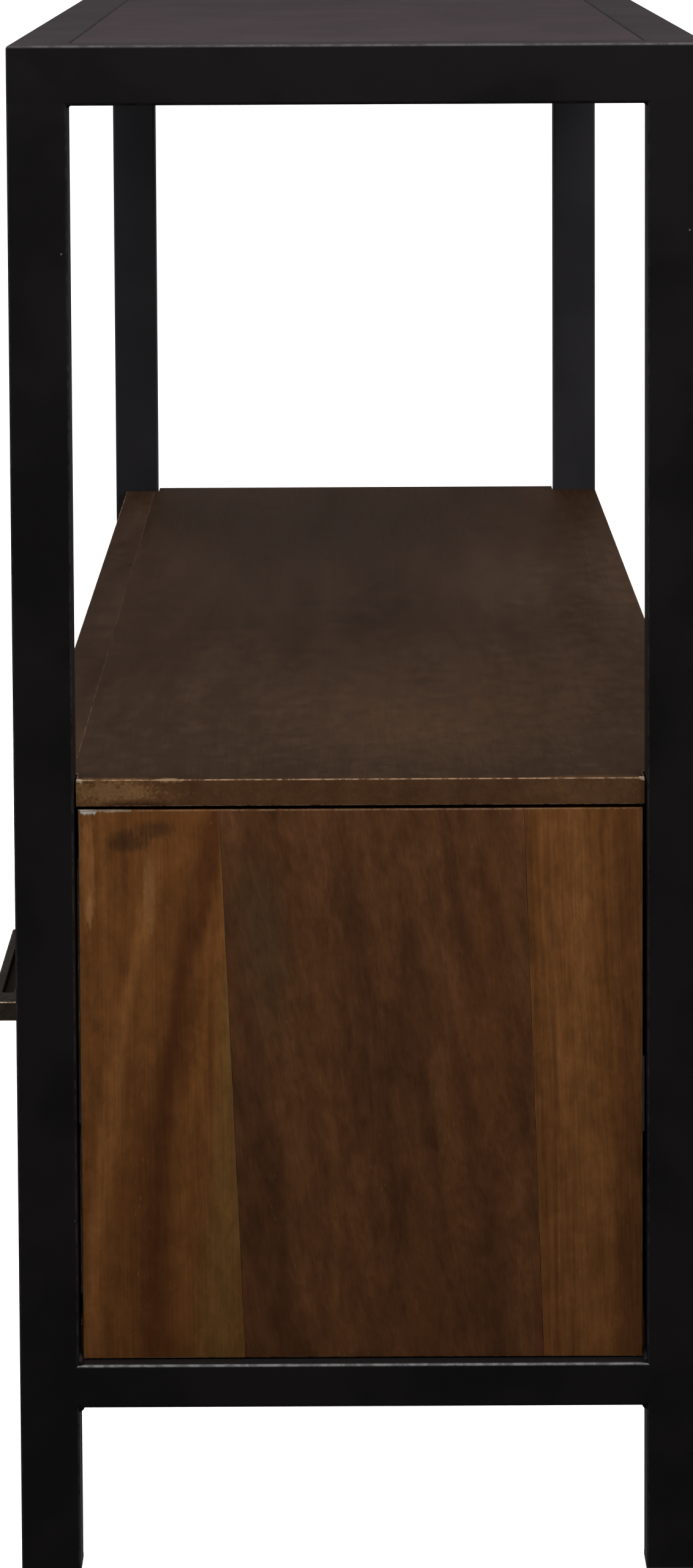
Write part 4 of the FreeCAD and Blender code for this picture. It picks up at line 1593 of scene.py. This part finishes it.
    def rear_board(self) -> WoodFinish:
        """Describe the plain-grained rear board.

        Returns:
            Its finish.
        """
        streaks = (
            Streak(((0.13, 0.1440), (0.30, 0.1430), (0.46, 0.1425)), (0.012, 0.008),
                   (0.170, 0.070, 0.0210), 0.5),
            Streak(((0.13, 0.1720), (0.30, 0.1700), (0.46, 0.1680)), (0.0095, 0.0095),
                   (0.066, 0.0250, 0.0090), 0.65),
            Streak(((0.13, 0.1290), (0.30, 0.1260), (0.46, 0.1210)), (0.0025, 0.002),
                   (0.068, 0.026, 0.009), 0.45),
            self.foot_shade(0.26),
        )
        return WoodFinish("wood_end_rear_board", Axis.Z, (0.085, 0.0318, 0.0093), (0.118, 0.0452, 0.0126),
                          (0.148, 0.0590, 0.0174), seed=8.4, figure=0.022, streaks=streaks, lean=0.03,
                          contrast=0.13, gloss=0.06)


@dataclass
class CabinetCase(Assembly):
    """Fixed inside of the cabinet: bottom, back, dividers and the screws that hold it down.

    Attributes:
        ease: Radius of the arrises.
        play: Play of the bottom board's ends between the posts.
        head: Radius of the screws' heads.
        shank: Radius of their shanks.
    """

    ease: float = 0.0008
    play: float = 0.0001
    head: float = 0.004
    shank: float = 0.0021

    def build(self) -> None:
        """Make the boards and the screws."""
        self.bottom(replace(STAIN, name="wood_bottom", seed=3.7))
        self.board("cabinet_back", replace(STAIN, name="wood_back", seed=6.2, figure=0.045),
                   "cabinet_wood", self.ease)
        upright = replace(STAIN, name="wood_divider", grain=Axis.Z, seed=7.9)
        for place in ("left", "right"):
            self.board(f"divider_{place}", upright, "cabinet_wood", self.ease)
        low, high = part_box("cabinet_screws")
        blank = Blank()
        for rail in ("low_rail_front", "low_rail_rear"):
            rail_low, rail_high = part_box(rail)
            y = (rail_low.y + rail_high.y) / 2
            for x in (low.x + self.head, 0.0, high.x - self.head):
                screw(blank, (x, y, rail_low.z), Axis.Z, -1, self.head, rail_low.z - low.z,
                      self.shank, high.z - rail_low.z)
        self.hang(blank, "cabinet_screws_turned", BLACK_SCREW, "screw_steel", "cabinet_screws")

    def bottom(self, finish: WoodFinish) -> None:
        """Make the bottom board, whose narrower ends reach into the end panels.

        Args:
            finish: Its finish.
        """
        low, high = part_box("cabinet_bottom")
        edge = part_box("end_panel_right")[0].x
        front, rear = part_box("low_rail_right")[0].y + self.play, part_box("low_rail_right")[1].y - self.play
        corners = [(-edge, low.y), (edge, low.y), (edge, front), (high.x, front), (high.x, rear),
                   (edge, rear), (edge, high.y), (-edge, high.y), (-edge, rear), (low.x, rear),
                   (low.x, front), (-edge, front)]
        blank = Blank()
        blank.draw_out(Outline.drawn(corners), Axis.Z, low.z, high.z, self.ease)
        self.hang(blank, "cabinet_bottom_board", finish, "cabinet_wood", "cabinet_bottom")


def screw(blank: Blank, seat: Point3, axis: Axis, facing: int, radius: float, height: float,
          shank: float, length: float) -> None:
    """Add a pan-head screw with a cross recess.

    Args:
        blank: Mesh to add it to.
        seat: Point on its axis where the head's underside sits.
        axis: Axis that it lies along.
        facing: 1 where the head points along the axis, or -1 against it.
        radius: Radius of the head.
        height: Height of the head.
        shank: Radius of the shank.
        length: Length of the shank.
    """
    profile = [(0.0003, -length), (shank * 0.5, -length + 0.001), (shank, -length + 0.003),
               (shank, -0.0002), (radius * 0.96, 0.0), (radius, height * 0.12), (radius, height * 0.4)]
    for step in range(1, 9):
        turn = math.pi / 2 * step / 8
        profile.append((radius * max(math.cos(turn), 0.04), height * (0.4 + 0.6 * math.sin(turn))))
    profile[-1:] = [(radius * share, height) for share in (0.5, 0.38, 0.26, 0.14, 0.05)]
    slot_width, slot_reach = radius * 0.13, radius * 0.55
    u_axis, v_axis = axis.others()
    for ring in blank.lathe(profile, seat, axis, 48, facing)[-7:]:
        for vertex in ring:
            u = abs(vertex.co[u_axis] - seat[u_axis])
            v = abs(vertex.co[v_axis] - seat[v_axis])
            if max(u, v) < slot_reach and min(u, v) < slot_width:
                vertex.co[axis.value] -= facing * height * 0.45


BLACK_SCREW = MetalFinish("blacked_screw_steel", (0.05, 0.05, 0.052), (0.025, 0.025, 0.026),
                          (0.25, 0.24, 0.23), Axis.Z, 0.38, 0.3)


@dataclass
class Drawer(Assembly):
    """One drawer: edge-glued front, box, grooved pull, screws and its telescopic slides.

    Attributes:
        side: Place in the row.
        ease: Radius of the front's arrises.
        seam: Share of the easing that the glued edge gets.
        split: Share of the front's height where its two boards meet.
        leg: Length of each end of the pull that stands on the front.
        bar: Depth of the pull's bar.
        lip: Depth of its outer lip.
        channel: Width and depth of the groove along it.
        tint: How much lighter or darker this front's wood is.
        head: Radius of the pull's screw heads.
        shank: Radius of their shanks.
    """

    side: Side = Side.CENTRE
    ease: float = 0.0015
    seam: float = 0.2
    split: float = 0.46
    leg: float = 0.028
    bar: float = 0.017
    lip: float = 0.0055
    channel: Point2 = (0.0075, 0.006)
    tint: float = 1.0
    head: float = 0.004
    shank: float = 0.002

    def build(self) -> None:
        """Make every piece of the drawer."""
        name = self.side.value
        self.body = f"{name}_drawer"
        self.front(f"{name}_drawer_front")
        self.box_sides(name)
        inside = self.box_finish("back", Axis.X, 2.9)
        self.board(f"{name}_drawer_back", inside, "drawer_wood", 0.0012)
        self.board(f"{name}_drawer_bottom", self.box_finish("bottom", Axis.X, 6.6), "drawer_wood", 0.0004)
        self.pull(f"{name}_pull")
        self.pull_screws(name)
        self.slides(name)

    def box_finish(self, part: str, grain: Axis, seed: float) -> WoodFinish:
        """Return the pale finish of a part of the drawer box.

        Args:
            part: Name of the part.
            grain: Axis of its grain.
            seed: Number that picks its stretch of wood.

        Returns:
            The finish.
        """
        return WoodFinish(f"wood_drawer_{part}", grain, (0.33, 0.225, 0.13), (0.43, 0.31, 0.19),
                          (0.52, 0.39, 0.25), seed=seed, figure=0.022, contrast=0.16,
                          worn=(0.55, 0.44, 0.31), wear=0.4, rough=0.52, gloss=0.3)

    def front(self, node: str) -> None:
        """Make the two boards of the front.

        Args:
            node: CAD node that they stand for.
        """
        low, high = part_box(node)
        middle = low.z + (high.z - low.z) * self.split
        tip = 0.0015 * (1 if self.side is Side.LEFT else -1)
        spans = ((low.z, low.z, middle - tip, middle + tip), (middle - tip, middle + tip, high.z, high.z))
        for index, (foot_left, foot_right, head_left, head_right) in enumerate(spans):
            corners = [(low.x, foot_left), (high.x, foot_right), (high.x, head_right), (low.x, head_left)]
            shares = (self.seam if index else 1.0, 1.0, 1.0 if index else self.seam, 1.0)
            blank = Blank()
            blank.draw_out(Outline.drawn(corners, 0.0, shares), Axis.Y, low.y, high.y, self.ease)
            seed = 3.3 * index + {"left": 1.1, "centre": 4.4, "right": 9.7}[self.side.value]
            tint = self.tint * (1.06 if index else 0.94)
            tones = [tuple(c * tint for c in tone) for tone in (STAIN.deep, STAIN.body, STAIN.pale)]
            finish = WoodFinish(f"wood_front_{self.side.value}_{index + 1}", Axis.X, *tones, seed=seed,
                                figure=0.034, gloss=0.12, lean=0.02 * (1 - index))
            self.hang(blank, f"{node}_board_{index + 1}", finish, "cabinet_wood", node)

    def box_sides(self, name: str) -> None:
        """Make the two sides of the box, grooved for the bottom.

        Args:
            name: Name of the drawer's place.
        """
        bottom_low, bottom_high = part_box(f"{name}_drawer_bottom")
        for place, groove in (("left", bottom_low.x), ("right", bottom_high.x)):
            node = f"{name}_drawer_{place}_side"
            low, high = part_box(node)
            inner, outer = (high.x, low.x) if place == "left" else (low.x, high.x)
            corners = [(outer, low.z), (inner, low.z), (inner, bottom_low.z), (groove, bottom_low.z),
                       (groove, bottom_high.z), (inner, bottom_high.z), (inner, high.z), (outer, high.z)]
            radii = [0.0012, 0.0012, 0.0, 0.0, 0.0, 0.0, 0.0025, 0.0025]
            if place == "right":
                corners, radii = corners[::-1], radii[::-1]
            blank = Blank()
            blank.draw_out(Outline.drawn(corners, radii), Axis.Y, low.y, high.y, 0.0008)
            finish = self.box_finish(f"{place}_side", Axis.Y, 4.1 if place == "left" else 5.8)
            self.hang(blank, f"{node}_grooved", finish, "drawer_wood", node)

    def pull(self, node: str) -> None:
        """Make the pull, with a round-ended groove along its top.

        Args:
            node: CAD node that it stands for.
        """
        low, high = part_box(node)
        inner = low.y + self.bar
        corners = [(low.x, low.y), (high.x, low.y), (high.x, high.y), (high.x - self.leg, high.y),
                   (high.x - self.leg, inner), (low.x + self.leg, inner), (low.x + self.leg, high.y),
                   (low.x, high.y)]
        radii = [0.0014, 0.0014, 0.0008, 0.0008, 0.0016, 0.0016, 0.0008, 0.0008]
        near = low.y + self.lip
        half = self.channel[0] / 2
        groove = Outline.drawn([(low.x + self.leg, near), (high.x - self.leg, near),
                                (high.x - self.leg, near + self.channel[0]),
                                (low.x + self.leg, near + self.channel[0])], half * 0.999, steps=10)
        blank = Blank()
        blank.draw_out(Outline.drawn(corners, radii), Axis.Z, low.z, high.z, 0.0009,
                       pocket=Pocket(groove, self.channel[1], 0.0006))
        # The pull's bright arrises are rubbed bronze and also a painted highlight.
        # The pull's upper faces and its groove get painted shade.
        finish = MetalFinish("dark_bronze", (0.038, 0.032, 0.023), (0.021, 0.0175, 0.0125),
                             (0.72, 0.56, 0.42), Axis.X, 0.5, 0.3, wear=0.9, metallic=0.45,
                             gloss=0.12, painted_upper_shade=0.6)
        self.hang(blank, f"{node}_milled", finish, "pull_bronze", node)

    def pull_screws(self, name: str) -> None:
        """Make the screws that hold the pull, with their heads inside the drawer.

        Args:
            name: Name of the drawer's place.
        """
        low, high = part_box(f"{name}_pull_screws")
        pull_low, pull_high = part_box(f"{name}_pull")
        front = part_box(f"{name}_drawer_front")[1].y
        blank = Blank()
        for x in (pull_low.x + self.leg / 2, pull_high.x - self.leg / 2):
            seat = (x, front, (pull_low.z + pull_high.z) / 2)
            screw(blank, seat, Axis.Y, 1, self.head, high.y - front, self.shank, front - low.y)
        self.hang(blank, f"{name}_pull_screws_turned", BLACK_SCREW, "screw_steel",
                  f"{name}_pull_screws")

    def slides(self, name: str) -> None:
        """Dress the three nested members of the slides.

        Args:
            name: Name of the drawer's place.
        """
        zinc = MetalFinish("zinc_plated_steel", (0.52, 0.53, 0.55), (0.36, 0.37, 0.39),
                           (0.68, 0.68, 0.68), Axis.Y, 0.33, 0.35, spangle=0.0035)
        for part in ("fixed", "middle", "inner"):
            self.dress(f"{name}_slides_{part}", zinc, "slide_steel")


# ---------------------------------------------------------------------------------------------
# Studio
# ---------------------------------------------------------------------------------------------


@dataclass(frozen=True)
class Softbox:
    """Square soft light.

    Attributes:
        name: Name of the light.
        spot: Where it stands.
        target: Point that it faces.
        size: Length of its sides.
        power: Its power in watts.
        shine: Whether it shows in glossy surfaces.
    """

    name: str
    spot: Point3
    target: Point3
    size: float
    power: float
    shine: bool = True

    def build(self) -> None:
        """Make the light."""
        data = bpy.data.lights.new(self.name, "AREA")
        data.shape, data.size, data.energy = "SQUARE", self.size, self.power
        lamp = bpy.data.objects.new(self.name, data)
        lamp.location = self.spot
        turn = (Vector(self.target) - Vector(self.spot)).to_track_quat("-Z", "Y")
        lamp.rotation_euler = turn.to_euler()
        lamp.visible_camera = False
        lamp.visible_glossy = self.shine
        bpy.context.scene.collection.objects.link(lamp)


@dataclass
class Studio:
    """Plain pale floor, soft light and the camera.

    Attributes:
        reach: Radius of the floor and of the backdrop.
        facets: Number of facets round them.
        spot: Place of the camera.
        yaw: Turn of the camera from straight along -X, in degrees.
        pitch: How far it looks down, in degrees.
        roll: How far it is tilted, in degrees.
        lens: Focal length, in millimetres on a 36 mm sensor.
        shift: Vertical shift of the lens.
        room: Strength of the light from all round.
        overhead: Strength of the wide overhead light.
        glow: How much the floor glows, which keeps it pale under the sideboard.
        softboxes: The softboxes round the sideboard.
    """

    reach: float = 45.0
    facets: int = 96
    spot: Point3 = (3.9557, 0.0065, 1.0312)
    yaw: float = 0.017
    pitch: float = 5.682
    roll: float = -0.284
    lens: float = 127.4
    shift: float = -0.25
    room: float = 0.17
    overhead: float = 1.1
    glow: float = 0.88
    softboxes: tuple[Softbox, ...] = (
        Softbox("end_softbox", (2.0, 0.25, 2.3), (0.75, 0.0, 0.9), 1.2, 42.0),
        Softbox("front_softbox", (0.5, -3.0, 2.2), (-0.2, -0.2, 0.6), 2.2, 85.0),
        Softbox("rear_softbox", (0.5, 3.0, 2.2), (-0.2, 0.2, 0.6), 2.2, 70.0),
        Softbox("far_end_softbox", (-2.6, -0.3, 1.2), (-0.75, 0.0, 0.5), 1.2, 26.0, False),
    )

    def build(self) -> None:
        """Make the floor, the backdrop, the lights and the camera."""
        self.camera()
        self.floor()
        self.backdrop()
        self.lights()

    def camera(self) -> None:
        """Make the camera, level with the top of the sideboard and facing its right end."""
        yaw, pitch, roll = (math.radians(a) for a in (self.yaw, self.pitch, self.roll))
        ahead = Vector((-math.cos(yaw) * math.cos(pitch), -math.sin(yaw) * math.cos(pitch),
                        -math.sin(pitch)))
        right = ahead.cross(Vector((0.0, 0.0, 1.0))).normalized()
        above = right.cross(ahead)
        across = right * math.cos(roll) + above * math.sin(roll)
        up = above * math.cos(roll) - right * math.sin(roll)
        data = bpy.data.cameras.new("studio_camera")
        data.lens, data.sensor_width, data.sensor_fit = self.lens, 36.0, "AUTO"
        data.shift_x, data.shift_y = 0.0, self.shift
        data.clip_start, data.clip_end = 0.05, 200.0
        data.dof.use_dof = False
        camera = bpy.data.objects.new("studio_camera", data)
        bpy.context.scene.collection.objects.link(camera)
        turn = Matrix((across, up, -ahead)).transposed().to_4x4()
        camera.matrix_world = Matrix.Translation(self.spot) @ turn
        bpy.context.scene.camera = camera

    def floor(self) -> None:
        """Make the pale floor."""
        blank = Blank()
        blank.cap(blank.loop(Axis.Z.point(u, v, 0.0)
                             for u, v in Outline.circle((0.0, 0.0), self.reach, self.facets).points))
        floor = blank.made("studio_floor")
        mix = Recipe("pale_floor")
        grain = mix.cloud(mix.scaled((3.0,) * 3), 3.0)
        colour = mix.tones(mix.fit(grain, 0.3, 0.7), (0.0, (0.86, 0.86, 0.86)), (1.0, (0.9, 0.9, 0.9)))
        normal = mix.emboss(mix.cloud(mix.scaled((900.0,) * 3)), 0.00002, 0.1)
        mix.finish(colour, 0.8, normal, Specular_IOR_Level=0.1, Emission_Color=(1.0, 1.0, 1.0, 1.0),
                   Emission_Strength=self.glow)
        floor.data.materials.append(mix.material)
        floor.visible_diffuse = False
        floor.visible_glossy = False

    def backdrop(self) -> None:
        """Make the white backdrop, which only the camera sees."""
        blank = Blank()
        quarter = [math.pi / 2 * n / 12 for n in range(12)]
        rings = []
        for turn in quarter:
            ring = Outline.circle((0.0, 0.0), self.reach * math.cos(turn), self.facets)
            rings.append(blank.loop(Axis.Z.point(u, v, self.reach * math.sin(turn) - 0.5)
                                    for u, v in ring.points))
        for first, second in zip(rings, rings[1:]):
            blank.skin(first, second)
        blank.cap(rings[-1])
        dome = blank.made("studio_backdrop")
        material = bpy.data.materials.new("white_backdrop")
        material.use_nodes = True
        tree = material.node_tree
        tree.nodes.clear()
        glow = tree.nodes.new("ShaderNodeEmission")
        output = tree.nodes.new("ShaderNodeOutputMaterial")
        tree.links.new(glow.outputs[0], output.inputs["Surface"])
        dome.data.materials.append(material)
        for ray in ("diffuse", "glossy", "transmission", "volume_scatter", "shadow"):
            setattr(dome, f"visible_{ray}", False)

    def lights(self) -> None:
        """Make the dim room, the soft overhead light and the softboxes."""
        scene = bpy.context.scene
        scene.view_settings.view_transform = "Standard"
        world = bpy.data.worlds.new("studio_room")
        world.use_nodes = True
        room = world.node_tree.nodes["Background"]
        room.inputs["Color"].default_value = (1.0, 0.985, 0.97, 1.0)
        room.inputs["Strength"].default_value = self.room
        scene.world = world
        sun = bpy.data.lights.new("soft_overhead", "SUN")
        sun.energy, sun.angle, sun.color = self.overhead, math.radians(80), (1.0, 0.99, 0.98)
        lamp = bpy.data.objects.new("soft_overhead", sun)
        lamp.rotation_euler = (math.radians(-12), math.radians(18), 0.0)
        scene.collection.objects.link(lamp)
        for softbox in self.softboxes:
            softbox.build()


def main() -> None:
    """Build the sub-assemblies in order and report their pieces."""
    logging.basicConfig(level=logging.INFO, format="%(name)s %(message)s")
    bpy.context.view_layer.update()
    assemblies: list[Assembly] = [
        SteelFrame(),
        Feet(),
        CabinetTop(),
        EndPanel(side=Side.LEFT, seams=((-0.0840, -0.0790), (0.0730, 0.0790))),
        EndPanel(side=Side.RIGHT),
        CabinetCase(),
        Drawer(side=Side.LEFT, split=0.46, tint=1.0),
        Drawer(side=Side.CENTRE, split=0.55, tint=0.9),
        Drawer(side=Side.RIGHT, split=0.42, tint=1.08),
    ]
    for assembly in assemblies:
        assembly.build()
    log.info("%d pieces", sum(len(assembly.made) for assembly in assemblies))
    Studio().build()


if __name__ == "__main__":
    main()
